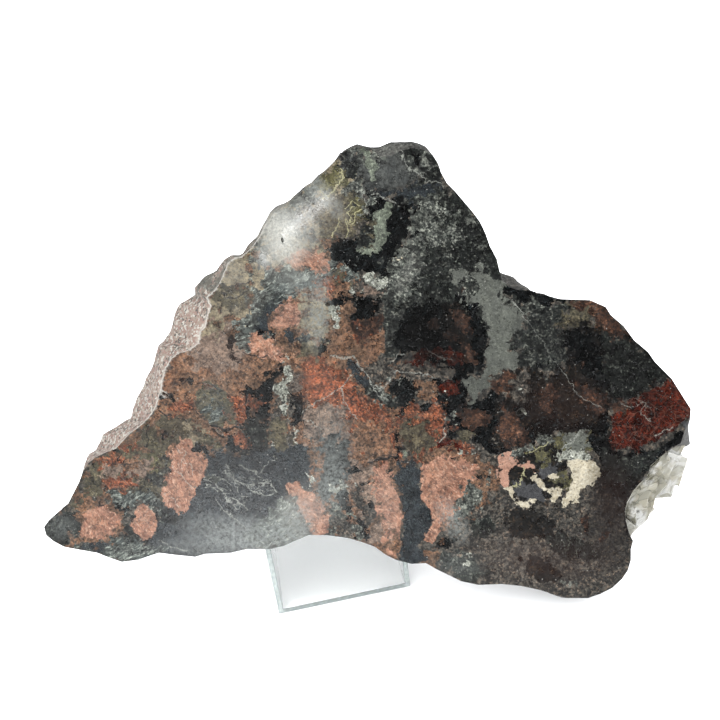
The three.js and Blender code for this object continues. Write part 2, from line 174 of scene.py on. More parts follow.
PATCHES = [
    # grounds of the left side and of the right side
    ("brown_garnet", "236,258 262,240 300,250 350,262 360,300 400,330 404,372 400,420 404,470 396,500"
     " 398,560 340,540 316,490 300,436 240,448 150,470 96,500 60,520 100,458 150,415 170,358 216,290"),
    ("granular", "440,470 620,440 640,560 600,600 540,600 440,580"),
    # top and middle
    ("speckled", "408,186 440,186 464,200 487,228 502,262 505,300 482,330 470,350 440,350 405,352 388,372"
     " 376,352 378,300 384,270 392,250 408,240 411,215"),
    ("peppered", "442,190 462,194 487,228 502,262 504,284 490,277 479,266 476,250 458,240 444,226 440,205"),
    ("peppered", "418,268 444,268 452,282 453,303 440,309 425,306 417,292"),
    ("peppered", "449,240 462,236 476,243 476,262 467,269 455,268 449,258"),
    ("ash", "410,205 420,198 438,190 442,196 434,203 440,212 438,222 447,228 446,244 436,248 424,244"
     " 411,240"),
    ("ash", "390,262 396,251 410,246 418,250 415,262 421,275 416,288 408,299 398,296 388,280"),
    ("ash", "440,226 450,224 461,230 460,240 452,241 444,236"),
    ("ash", "440,210 446,209 451,213 450,217 443,216"),
    ("peppered", "424,248 446,248 448,264 430,266 421,258"),
    # smooth grey cap and its rough crest
    ("smooth_grey", "343,162 350,156 366,158 378,154 400,151 413,158 417,172 414,184 402,191 384,193"
     " 370,190 364,184 362,178 354,174"),
    ("ash", "344,154 354,147 373,146 376,156 364,159 350,158"),
    ("ash", "373,147 386,142 402,139 417,141 431,150 422,153 408,150 399,153 386,158 378,156"),
    ("pale_green", "362,150 368,150 373,160 377,168 373,178 370,172 366,162"),
    ("black", "372,147 375,149 380,158 377,157 373,152"),
    ("peppered", "401,152 406,144 419,146 431,151 439,162 442,174 449,187 440,189 426,185 418,175 408,168"
     " 402,158"),
    ("black", "410,154 418,153 422,158 418,164 411,163"),
    ("slate", "366,186 385,192 402,189 416,181 440,187 432,193 420,197 410,202 390,200 372,197"),
    # foliated black crescent with its green core
    ("black", "365,189 388,198 409,198 411,215 409,238 400,247 391,262 386,277 376,274 362,272 352,276"
     " 345,266 336,273 329,265 327,252 330,243 340,239 352,240 361,234 366,222"),
    ("olive", "361,224 371,219 378,229 377,239 370,246 361,249 359,240"),
    ("peppered", "360,232 368,224 374,232 370,243 361,246"),
    ("pale_green", "388,201 391,206 388,213 386,225 389,236 384,246 374,253 363,254 357,249 369,247"
     " 376,239 377,229 372,218 376,210 382,204"),
    # upper left: olive crystals under the rolled edge
    ("tan", "241,259 250,247 262,228 270,215 285,205 300,190 312,180 325,170 336,160 345,159 350,172"
     " 346,184 332,198 318,204 318,252 286,268 262,264"),
    ("ash", "288,205 300,190 313,180 324,172 322,186 316,196 304,212 292,214"),
    ("ash", "262,230 270,216 286,206 300,214 298,232 280,236 268,240"),
    ("ash", "246,262 262,236 272,248 274,266 262,268"),
    ("peppered", "336,164 345,158 353,162 356,172 357,183 350,181 345,174 339,169"),
    ("yellow", "319,185 326,172 335,166 344,170 347,179 342,187 333,192 325,198 320,193"),
    ("ash", "350,183 357,180 365,186 366,200 360,204 352,196 347,188"),
    ("olive", "309,206 318,200 330,196 345,188 352,196 361,202 363,213 360,224 359,233 350,239 338,238"
     " 328,244 320,241 318,226 312,223"),
    ("yellow", "349,196 357,195 363,204 362,214 356,213 350,206"),
    ("brown_garnet", "319,240 330,240 331,248 327,254 318,252"),
    ("black", "311,224 314,225 317,236 320,243 315,243 311,241 312,232"),
    # teal foliated band and the pink garnets round it
    ("tan", "227,263 236,258 250,262 251,276 248,290 250,312 238,318 208,318 207,300 216,290 221,280"
     " 223,272"),
    ("olive", "222,284 236,286 250,280 252,300 244,312 228,310 214,300"),
    ("teal", "250,262 262,258 268,268 300,268 330,268 352,266 353,273 332,277 318,283 305,291 290,299"
     " 276,311 269,330 262,344 250,352 240,351 235,344 232,332 238,320 250,312 252,292 248,276"),
    ("tan", "252,263 262,262 264,276 260,288 252,284"),
    ("slate", "253,332 260,318 268,306 282,300 272,312 270,326 262,341 256,337"),
    ("mauve", "201,338 205,327 208,316 222,318 233,320 235,332 236,346 240,354 236,372 215,374 198,370"
     " 188,360 190,350 199,343"),
    ("tan", "206,326 209,316 226,318 228,326 218,334 206,334"),
    ("brown_garnet", "190,350 198,368 216,373 236,371 262,356 280,354 284,366 276,372 268,380 262,388"
     " 246,392 226,394 214,388 203,384 197,396 190,412 168,411 157,413 157,402 168,399 161,392 161,380"
     " 166,367 178,354"),
    ("pink_garnet", "250,334 260,330 268,340 278,346 286,354 278,360 262,356 252,354 247,345"),
    ("brown_garnet", "266,332 270,316 278,305 292,296 306,289 322,296 326,312 342,308 352,322 346,336"
     " 352,350 336,353 322,350 318,342 306,340 300,350 288,355 276,346"),
    ("pink_garnet", "268,320 276,308 290,300 300,304 300,322 288,330 272,330"),
    ("tan", "302,296 320,298 324,312 328,330 318,340 304,332 300,316"),
    ("slate", "284,333 292,330 297,337 293,345 286,343"),
    ("slate", "302,336 310,336 309,342 302,342"),
    ("olive", "300,347 311,341 320,345 318,358 303,359 297,352"),
    ("black", "318,346 322,338 328,342 328,352 322,357 318,352"),
    ("brown_garnet", "325,322 346,318 352,326 366,320 380,318 386,330 386,352 374,362 362,368 352,358"
     " 336,353 328,348"),
    ("orange_garnet", "350,326 362,322 372,330 366,342 354,340"),
    ("rust", "350,322 371,316 380,310 385,320 378,332 362,339 350,333"),
    ("brown_garnet", "330,278 340,264 350,266 356,280 357,290 348,296 338,292 331,287"),
    ("olive", "334,272 342,266 350,270 352,282 344,286 336,282"),
    ("orange_garnet", "317,285 326,278 334,280 340,285 333,291 324,292"),
    ("brown_garnet", "304,293 316,286 328,292 338,295 331,299 316,301 305,299"),
    ("pink_garnet", "284,255 300,249 318,249 325,252 329,262 331,268 322,272 310,270 292,269 283,262"),
    ("black", "325,304 328,300 334,300 335,305 330,307"),
    ("black", "357,297 366,294 374,296 381,302 375,312 371,319 362,323 352,321 350,316 354,306"),
    ("black", "338,297 342,291 350,292 356,289 358,296 350,299 342,303"),
    ("mauve", "364,286 372,283 381,291 374,297 366,295"),
    ("silver", "361,277 366,272 373,271 378,275 386,276 389,281 384,285 381,290 376,287 369,280"),
    ("silver", "352,291 357,287 361,288 356,292 352,294"),
    ("silver", "324,307 330,305 336,306 340,318 336,326 331,322 327,314"),
    # black heart of the stone
    ("black", "404,312 420,304 450,303 462,300 478,306 482,320 488,335 488,352 487,364 482,375 470,374"
     " 460,378 456,370 444,366 412,352 398,360 397,344 402,326"),
    ("brown_field", "440,305 455,301 464,312 468,330 474,344 466,350 452,338 446,322"),
    ("rust", "450,310 462,312 469,320 470,330 462,335 454,325"),
    ("rust", "443,331 454,331 459,336 450,340 443,337"),
    ("rust", "463,344 474,346 477,360 470,367 464,361"),
    ("rust", "428,318 437,316 440,325 430,327"),
    ("red_garnet", "410,361 420,352 440,349 456,352 466,358 464,367 452,367 440,364 426,364 415,367"),
    ("granular", "360,372 372,362 388,360 404,364 440,366 452,373 440,381 430,378 418,379 400,375 392,382"
     " 380,386 368,382"),
    ("brown_garnet", "417,380 432,378 437,386 441,396 444,403 434,405 424,399 414,395 418,386"),
    ("black", "397,378 404,375 418,378 418,387 414,395 408,402 404,410 398,413 392,402 389,390"),
    ("black", "434,378 450,380 459,376 470,374 470,384 466,398 472,402 480,398 492,390 500,386 508,398"
     " 506,408 500,414 494,430 496,442 504,448 494,454 480,446 468,441 454,438 447,431 450,420 446,410"
     " 438,402"),
    ("red_garnet", "441,388 450,384 458,385 454,394 445,397"),
    # orange garnets left of the heart
    ("orange_garnet", "304,364 318,360 334,361 345,370 353,380 361,392 376,402 389,414 397,424 397,440"
     " 398,456 384,461 368,459 350,456 345,444 322,408 311,413 303,400 302,384"),
    ("granular", "292,372 303,366 305,384 303,396 293,392"),
    ("mauve", "304,414 320,404 340,409 350,424 352,440 330,448 312,442 302,432"),
    ("smooth_grey", "311,440 330,438 350,440 350,462 346,482 336,496 322,500 316,486 313,466"),
    ("brown_garnet", "346,420 372,424 394,430 397,456 384,461 366,460 350,458 348,440"),
    ("brown_garnet", "311,440 323,444 326,462 320,476 315,486 312,468"),
    ("peppered", "362,384 378,386 392,392 398,404 396,416 386,408 374,402 362,394"),
    ("slate", "352,358 360,366 372,382 368,390 360,384 352,372 344,366"),
    ("orange_garnet", "403,409 410,401 418,402 420,408 416,414 408,420 400,425 397,418"),
    ("orange_garnet", "399,424 410,416 421,410 433,402 441,402 447,414 449,426 447,436 453,440 466,444"
     " 475,450 467,456 468,471 450,468 430,467 416,463 408,449 402,438"),
    ("olive", "401,426 414,418 428,420 432,434 430,448 425,461 412,452 406,440"),
    ("red_garnet", "431,441 447,437 462,446 470,452 465,467 446,465 434,456"),
    ("black", "418,402 424,402 434,403 428,408 420,413"),
    ("black", "393,424 400,424 401,436 406,448 404,462 396,458 396,440"),
    ("rust", "457,412 466,407 474,411 485,412 489,420 480,429 470,427 460,424"),
    ("olive", "455,432 470,430 478,435 470,441 458,438"),
    # right: dark field, olive and rust rim
    ("speckled", "512,300 524,297 545,299 575,301 573,312 560,326 568,336 568,356 561,366 548,372 530,371"
     " 518,366 516,352 508,350 512,338 526,320 520,308"),
    ("black", "500,286 515,286 530,289 545,295 562,300 548,303 534,301 524,306 516,298 504,296"),
    ("ash", "534,304 541,303 542,310 537,312"),
    ("ash", "560,338 566,341 568,350 563,351"),
    ("brown_field", "504,372 518,367 546,373 560,368 568,356 566,334 580,325 600,330 628,337 646,350"
     " 662,369 678,383 660,387 645,393 630,398 612,403 606,425 612,452 600,470 600,446 592,432 570,430"
     " 554,432 548,440 530,446 512,450 500,450 492,440 494,420 500,400"),
    ("peppered", "600,333 628,337 662,369 674,382 650,389 630,397 612,401 604,390 602,370 598,350"),
    ("black", "567,331 585,325 598,335 600,352 605,375 607,391 600,393 590,372 575,362 569,350"),
    ("olive", "562,314 572,308 586,305 593,312 591,322 576,326 562,326"),
    ("rust", "568,302 576,299 592,298 602,303 611,313 630,332 627,340 610,338 600,331 593,321 589,309"
     " 574,308"),
    ("rust", "576,384 590,386 600,392 603,404 592,405 580,396"),
    ("rust", "586,403 604,405 608,412 596,415 587,411"),
    ("rust", "540,388 549,380 556,394 549,414 543,411"),
    ("rust", "577,364 583,364 584,369 578,369"),
    ("rust", "494,374 508,370 519,376 522,388 512,391 505,399 496,396 491,384"),
    ("granular", "512,372 526,374 532,390 528,404 516,404 508,396"),
    ("rust", "500,405 512,408 520,419 527,430 525,440 508,446 496,440 492,429 499,420"),
    ("black", "513,411 519,406 526,406 531,412 525,420 519,418"),
    ("silver", "520,408 526,409 528,414 523,412"),
    ("black", "530,422 545,415 560,420 596,425 606,412 609,425 609,440 613,450 640,453 660,446 684,429"
     " 691,424 687,440 674,447 661,457 651,467 646,480 636,488 625,495 610,482 600,464 597,452 590,446"
     " 590,432 570,430 556,430 553,440 540,438 532,436"),
    ("peppered", "600,440 612,452 640,455 656,450 650,464 640,480 628,490 612,480 602,462"),
    ("red_garnet", "610,404 620,400 632,396 645,392 660,384 672,380 682,388 687,398 692,406 691,414"
     " 683,422 672,430 660,436 648,444 640,449 625,450 613,448 610,440 615,428 611,416"),
    ("rust", "609,405 621,401 630,404 626,412 615,417 611,413"),
    ("lead", "683,422 690,419 694,430 698,436 697,442 692,450 685,454 681,444 684,434"),
    ("brown_field", "598,458 612,478 626,492 634,488 648,470 636,490 628,500 627,516 632,541 620,546"
     " 604,530 599,500"),
    # sulphides
    ("brown_field", "496,446 512,446 530,444 553,440 562,452 562,470 560,490 545,502 530,502 514,496"
     " 508,486"),
    ("steel", "559,434 566,431 585,430 591,433 589,441 589,450 575,453 565,451 561,442"),
    ("yellow", "554,436 560,435 564,445 562,452 554,449"),
    ("yellow", "583,431 592,431 589,438"),
    ("yellow", "585,443 590,442 590,451"),
    ("silver", "561,453 570,449 582,450 591,454 591,461 580,463 568,461"),
    ("cream", "562,461 575,460 590,461 599,467 599,476 594,484 583,487 578,491 578,499 566,500 564,506"
     " 562,502 563,494 567,489 572,480 568,470"),
    ("yellow", "561,468 567,472 570,482 564,488 559,480"),
    ("ash", "499,454 511,450 522,446 536,440 548,437 553,444 540,446 528,451 520,456 512,459 503,459"),
    ("copper", "493,470 499,470 499,458 503,455 515,455 521,461 518,465 512,467 511,480 513,485 508,487"
     " 503,483 495,480"),
    ("yellow", "535,451 548,450 553,455 549,462 537,461"),
    ("lead", "515,481 528,478 540,484 546,494 543,501 530,501 518,497"),
    ("lead", "537,470 552,461 563,464 563,476 552,480 545,478"),
    ("cream", "529,474 535,473 541,478 546,482 549,489 550,495 555,488 561,484 560,490 555,497 551,501"
     " 546,497 543,487 538,482 531,479"),
    ("cream", "548,475 556,472 560,476 558,480 552,479"),
    ("cream", "507,486 514,484 517,490 517,497 524,501 531,506 530,512 522,510 515,504 513,494"),
    ("cream", "530,502 538,500 537,505 531,507"),
    ("copper", "518,464 526,463 538,466 536,469 524,468"),
    # bottom right
    ("granular", "440,470 470,466 494,470 506,486 515,504 531,512 550,502 562,508 580,500 600,492 622,500"
     " 630,540 634,556 626,577 610,592 590,600 563,599 548,592 518,587 478,587 458,580 438,570 430,562"
     " 430,545 442,540 458,535 466,515 471,490"),
    ("peppered", "548,538 566,534 590,540 600,552 588,562 566,560 550,552"),
    ("brown_field", "500,512 522,506 548,516 560,530 540,540 512,536"),
    ("brown_field", "520,556 546,560 560,574 548,584 526,578"),
    ("peppered", "470,520 486,514 496,528 486,540 472,536"),
    ("rust", "468,462 480,462 494,466 498,472 494,483 484,487 474,481"),
    ("speckled", "440,550 458,552 474,560 484,576 470,583 455,577 442,566"),
    # bottom middle
    ("slate", "158,513 190,500 196,486 206,472 210,458 216,450 245,452 266,449 286,446 300,436 309,445"
     " 314,470 313,489 300,486 286,488 284,500 300,510 306,530 297,539 270,550 240,554 200,558 160,556"
     " 148,548 154,530"),
    ("teal", "262,516 276,504 290,500 300,508 306,520 311,535 300,540 288,546 268,550 250,548 246,534"),
    ("pink_garnet", "284,487 297,483 306,488 316,490 321,498 328,507 330,520 327,535 312,536 309,525"
     " 302,512 296,502 289,495"),
    ("ash", "330,504 341,508 351,516 355,528 354,540 336,538 329,532"),
    ("granular", "330,516 342,516 350,524 352,538 336,538"),
    ("mauve", "350,460 372,464 375,490 377,508 383,525 381,541 371,546 362,541 367,522 357,508 349,494"),
    ("granular", "352,486 366,496 372,516 366,524 356,508 348,496"),
    ("pink_garnet", "372,466 386,462 392,473 396,485 401,500 403,515 400,530 398,560 388,553 381,541"
     " 383,525 377,508 374,490"),
    ("brown_garnet", "382,534 397,536 398,560 388,553 380,544"),
    ("slate", "396,464 415,461 422,472 420,490 421,500 431,513 429,528 421,545 432,562 416,567 397,563"
     " 401,540 403,515 400,495 396,480"),
    ("brown_garnet", "424,456 440,446 466,452 486,462 498,474 500,488 484,498 470,512 458,522 446,530"
     " 440,520"),
    ("pink_garnet", "421,468 432,460 452,456 474,464 478,476 470,490 464,502 452,516 442,531 432,543"
     " 424,541 431,522 428,508 419,495"),
    ("ash", "462,492 471,480 480,492 478,508 465,520 456,514"),
    ("brown_garnet", "428,546 441,543 439,556 434,567 430,561"),
    ("black", "427,546 440,541 457,538 457,545 445,548 432,547"),
    ("black", "337,491 346,489 349,500 348,510 344,509 339,500"),
    ("black", "349,508 354,510 358,518 367,524 368,536 362,543 354,538 354,524 350,516"),
    ("silver", "329,483 343,482 352,486 358,490 348,492 340,489 336,493 331,487"),
    # left: orange grains, black bands and the silvery streak
    ("olive", "150,424 170,416 188,420 200,432 212,436 224,444 216,450 200,444 186,438 170,445 150,450"
     " 132,448"),
    ("orange_garnet", "168,402 180,398 196,402 200,410 190,414 174,412"),
    ("orange_garnet", "112,450 126,444 138,448 132,454 118,456"),
    ("tan", "186,424 198,424 204,434 196,440 186,434"),
    ("olive", "196,398 200,388 206,384 215,387 224,393 230,408 227,420 215,427 205,420 197,411"),
    ("teal", "203,408 212,404 224,408 226,418 215,425 206,418"),
    ("black", "245,392 258,385 267,372 276,366 280,352 284,356 282,372 274,384 274,400 268,425 273,446"
     " 262,451 245,453 224,451 226,441 238,430 246,425 251,418"),
    ("peppered", "240,420 262,418 270,430 272,446 258,450 240,448"),
    ("granular", "272,384 283,372 292,372 298,390 297,420 290,426 275,420 269,424 272,402"),
    ("olive", "268,423 276,417 288,423 292,436 289,448 274,449 268,437"),
    ("black", "292,394 303,392 305,405 303,425 299,439 290,429 292,410"),
    ("orange_garnet", "229,396 239,390 246,397 248,415 243,427 235,425 229,412"),
    ("orange_garnet", "248,398 255,397 259,404 257,414 249,417"),
    ("orange_garnet", "230,436 240,431 246,436 243,445 234,446"),
    ("silver", "282,358 287,356 290,362 286,366 282,363"),
    ("silver", "284,366 290,368 291,378 285,382 283,374"),
    ("silver", "272,383 284,380 290,386 286,392 290,402 284,403 278,395 272,390"),
    ("silver", "279,407 289,404 290,418 287,422 281,416"),
    ("silver", "292,428 300,430 301,439 296,438"),
    ("silver", "270,440 276,446 275,451 270,445"),
    ("silver", "309,476 313,480 312,484 309,482"),
    # left flap and tip
    ("olive", "90,470 97,458 112,452 126,452 150,451 165,447 168,460 164,478 160,495 150,494 130,488"
     " 104,490 92,498 78,502 82,488"),
    ("brown_garnet", "100,458 118,454 140,456 150,470 140,480 120,476 104,476"),
    ("brown_garnet", "70,505 84,498 98,500 110,504 122,515 124,528 117,538 104,542 84,545 64,548 70,538"
     " 80,528"),
    ("peppered", "40,526 50,519 62,509 72,501 75,514 83,522 79,530 71,537 64,549 48,543 42,534"),
    ("teal", "76,546 100,543 118,537 130,540 150,546 166,549 158,556 148,558 138,564 120,565 106,558"
     " 84,553"),
    ("slate", "80,547 100,542 112,540 106,548 92,551"),
    ("orange_garnet", "103,461 111,457 119,462 120,469 112,473 105,469"),
    ("orange_garnet", "101,479 118,475 134,476 141,482 137,490 120,491 104,488"),
    ("mauve", "98,472 120,469 145,466 150,474 140,478 120,474 102,478"),
    ("yellow", "146,461 153,458 159,463 161,471 156,475 149,470"),
    ("peppered", "145,473 157,476 166,462 169,470 163,484 152,486 144,480"),
    ("teal", "106,490 120,491 135,490 150,494 160,500 168,506 160,512 150,506 139,501 130,508 123,513"
     " 115,508"),
    ("black", "116,502 124,506 123,513 115,508"),
    ("pink_garnet", "88,513 100,505 112,508 121,516 122,528 116,537 104,541 88,540 77,536 80,522"),
    ("peppered", "124,512 131,510 129,522 134,534 142,541 130,543 119,538 124,528"),
    ("teal", "150,500 160,504 166,508 162,512 154,512 150,508"),
    ("pink_garnet", "132,510 140,504 148,506 154,515 156,526 151,537 143,540 135,535 129,525"),
    ("black", "154,514 165,511 176,512 187,514 178,520 168,521 158,521"),
    ("pink_garnet", "174,444 183,438 191,441 194,451 202,453 210,461 207,470 202,479 197,488 192,498"
     " 188,508 184,512 176,513 167,509 160,500 160,491 163,480 167,470 170,458 171,450"),
    ("black", "190,441 200,443 208,450 214,458 206,457 196,452"),
]

# Small spots: mineral, x, y, half width, half height

SPOTS = [
    ("black", 283, 240, 3, 5), ("black", 286, 253, 4, 4), ("black", 165, 436, 3, 4),
    ("black", 114, 451, 3, 3), ("black", 166, 395, 4, 3), ("black", 162, 391, 3, 2),
    ("black", 233, 344, 3, 5), ("black", 233, 360, 4, 6), ("black", 300, 214, 4, 4),
    ("black", 148, 490, 2, 2), ("black", 93, 464, 2, 2), ("black", 127, 464, 2, 2),
    ("black", 355, 472, 4, 2), ("black", 361, 480, 4, 2), ("black", 388, 473, 3, 3),
    ("black", 374, 503, 2, 2), ("black", 453, 459, 2, 1), ("black", 478, 476, 3, 2),
    ("black", 444, 362, 2, 2), ("black", 224, 294, 2, 2), ("black", 540, 365, 6, 3),
    ("black", 417, 422, 3, 2), ("black", 344, 283, 3, 2), ("black", 351, 462, 2, 1),
    ("black", 262, 332, 4, 2), ("black", 274, 334, 4, 2), ("black", 205, 302, 1, 2),
    ("black", 186, 382, 2, 1), ("silver", 442, 390, 2, 1), ("silver", 520, 387, 1, 1),
    ("silver", 468, 561, 1, 2), ("ash", 423, 161, 3, 1), ("ash", 414, 162, 1, 2), ("ash", 390, 380, 3, 4),
    ("ash", 384, 396, 3, 2), ("ash", 375, 401, 2, 2), ("silver", 466, 452, 5, 2),
    ("cream", 393, 259, 2, 1), ("ash", 547, 378, 1, 2), ("ash", 451, 417, 1, 2), ("ash", 488, 478, 1, 2),
    ("black", 281, 237, 2, 4), ("black", 285, 245, 3, 2), ("black", 290, 232, 2, 2),
    ("black", 278, 227, 1, 2), ("black", 287, 253, 2, 3), ("black", 283, 263, 2, 2),
    ("black", 296, 240, 1, 2), ("black", 305, 232, 1, 3), ("rust", 364, 334, 3, 2),
    ("rust", 583, 520, 2, 4), ("rust", 606, 536, 5, 4), ("rust", 463, 290, 2, 4), ("ash", 213, 480, 5, 3),
    ("ash", 154, 508, 3, 2), ("ash", 484, 256, 3, 5), ("ash", 459, 228, 3, 3), ("steel", 464, 300, 4, 2),
    ("ash", 464, 294, 1, 4), ("ash", 571, 582, 5, 3), ("pale_green", 404, 454, 2, 5),
    ("ash", 402, 381, 2, 2), ("ash", 470, 222, 3, 4), ("ash", 455, 216, 3, 2), ("cream", 311, 479, 1, 3),
]

# The flat grey field right of the middle, laid over all patches

STEEL = (
    "477,258 483,262 484,271 489,275 495,281 504,282 509,286 501,290 496,292 500,300 512,301 519,310"
    " 526,318 520,330 510,336 508,350 516,353 516,360 511,368 500,370 491,378 490,388 482,391 474,402"
    " 468,396 466,383 471,377 480,378 488,366 486,350 490,340 486,325 482,315 479,305 470,301 462,300"
    " 474,297 480,290 479,281 470,276 461,281 454,285 449,279 457,272 468,270 476,270"
)

# Thin lines: kind, half width in mm, course

LINES = [
    ("pale", 0.22, "174,466 180,474 186,482 192,488"), ("pale", 0.22, "178,450 184,458 190,466 193,474"),
    ("pale", 0.26, "166,494 172,498 178,507"), ("pale", 0.18, "184,452 181,462 183,470"),
    ("pale", 0.55, "226,472 235,480 243,484 252,485 262,483"),
    ("pale", 0.36, "240,465 252,470 262,476 275,492"), ("pale", 0.34, "207,485 222,494 232,500 243,505"),
    ("pale", 0.55, "221,492 228,500 237,508"), ("pale", 0.30, "247,488 262,496 272,494"),
    ("pale", 0.18, "222,510 236,520 246,528"), ("pale", 0.20, "205,480 218,487 230,491"),
    ("pale", 0.20, "226,466 232,474 236,480"), ("pale", 0.18, "250,470 258,476 270,480"),
    ("pale", 0.20, "215,500 224,508 232,516"), ("pale", 0.26, "232,498 240,503 246,510"),
    ("pale", 0.18, "236,486 240,494 246,498"), ("pale", 0.18, "256,484 262,490 270,494"),
    ("pale", 0.18, "214,474 222,478 230,484"), ("pale", 0.16, "262,470 268,462 276,460"),
    ("pale", 0.18, "240,476 250,478 258,482"),
    ("pale", 0.30, "303,413 312,405 320,400 332,394 341,388 350,376"),
    ("pale", 0.26, "341,388 344,398 348,408 356,418"),
    ("pale", 0.35, "330,356 345,358 353,357 358,364 366,374 374,386 384,388 390,380"),
    ("pale", 0.30, "374,390 380,397 387,398"), ("pale", 0.13, "524,314 530,324 545,345 553,360 565,373"),
    ("pale", 0.14, "565,373 573,388 582,398 600,407"),
    ("pale", 0.30, "401,152 405,162 410,170 418,173 425,180"), ("pale", 0.20, "425,180 432,182 441,183"),
    ("pale", 0.18, "418,173 428,170 436,166"), ("pale", 0.30, "563,449 572,440 580,432"),
    ("pale", 0.32, "364,188 366,202 364,212"), ("pale", 0.40, "374,194 382,197 390,198 395,203"),
    ("pale", 0.22, "391,361 397,356 404,354"), ("pale", 0.35, "445,429 444,437 440,441"),
    ("pale", 0.25, "430,352 440,356 452,360"), ("pale", 0.20, "512,300 518,308 526,318"),
    ("pale", 0.30, "656,436 664,432 672,428"), ("pale", 0.14, "622,404 630,408 640,404 650,408"),
    ("pale", 0.14, "636,398 644,404 640,414 650,420"),
    ("pale", 0.28, "560,460 566,455 574,452 580,457 586,454"), ("pale", 0.22, "160,541 175,548 188,552"),
    ("pale", 0.20, "306,420 314,424 322,430"), ("pale", 0.20, "395,372 410,372 424,374 436,378"),
    ("yellow", 0.34, "341,170 342,180 334,190 324,198"), ("yellow", 0.26, "321,189 324,194 328,197"),
    ("yellow", 0.30, "360,209 355,214 354,224"), ("yellow", 0.24, "346,208 352,203 358,206"),
    ("yellow", 0.22, "338,220 336,230 332,236"), ("yellow", 0.22, "345,220 348,230 347,236"),
    ("yellow", 0.36, "523,469 523,476 517,485"), ("yellow", 0.30, "514,486 519,484 524,478"),
    ("yellow", 0.26, "352,206 348,214 350,222"), ("yellow", 0.25, "530,452 540,447 548,443"),
    ("dark", 0.60, "203,383 208,386 214,386 220,391"),
    ("dark", 0.75, "211,425 218,427 226,430 238,427 246,430"), ("dark", 0.95, "213,430 219,434 223,437"),
    ("dark", 0.35, "221,283 228,287 238,286 249,281"), ("dark", 0.35, "223,292 227,297 236,297 247,291"),
    ("dark", 0.60, "369,463 376,460 386,459 396,457"), ("dark", 0.60, "247,389 247,400 248,416 252,420"),
    ("dark", 0.45, "349,359 357,367 366,376"), ("dark", 0.35, "183,384 189,380"),
    ("dark", 0.45, "120,455 118,461 124,466 131,464"), ("dark", 0.35, "146,446 148,440 146,432 150,426"),
    ("dark", 0.40, "336,266 341,262 346,268"), ("dark", 0.50, "318,282 326,275 334,270"),
    ("dark", 0.35, "243,352 254,357 268,356"), ("dark", 0.35, "196,412 201,416 204,420"),
    ("dark", 0.40, "683,452 687,460 684,470"), ("dark", 0.35, "305,398 303,412 304,424"),
    ("dark", 0.45, "104,506 98,508 101,502"), ("dark", 0.40, "156,404 162,412 170,416"),
    ("dark", 0.30, "176,418 186,420"),
]
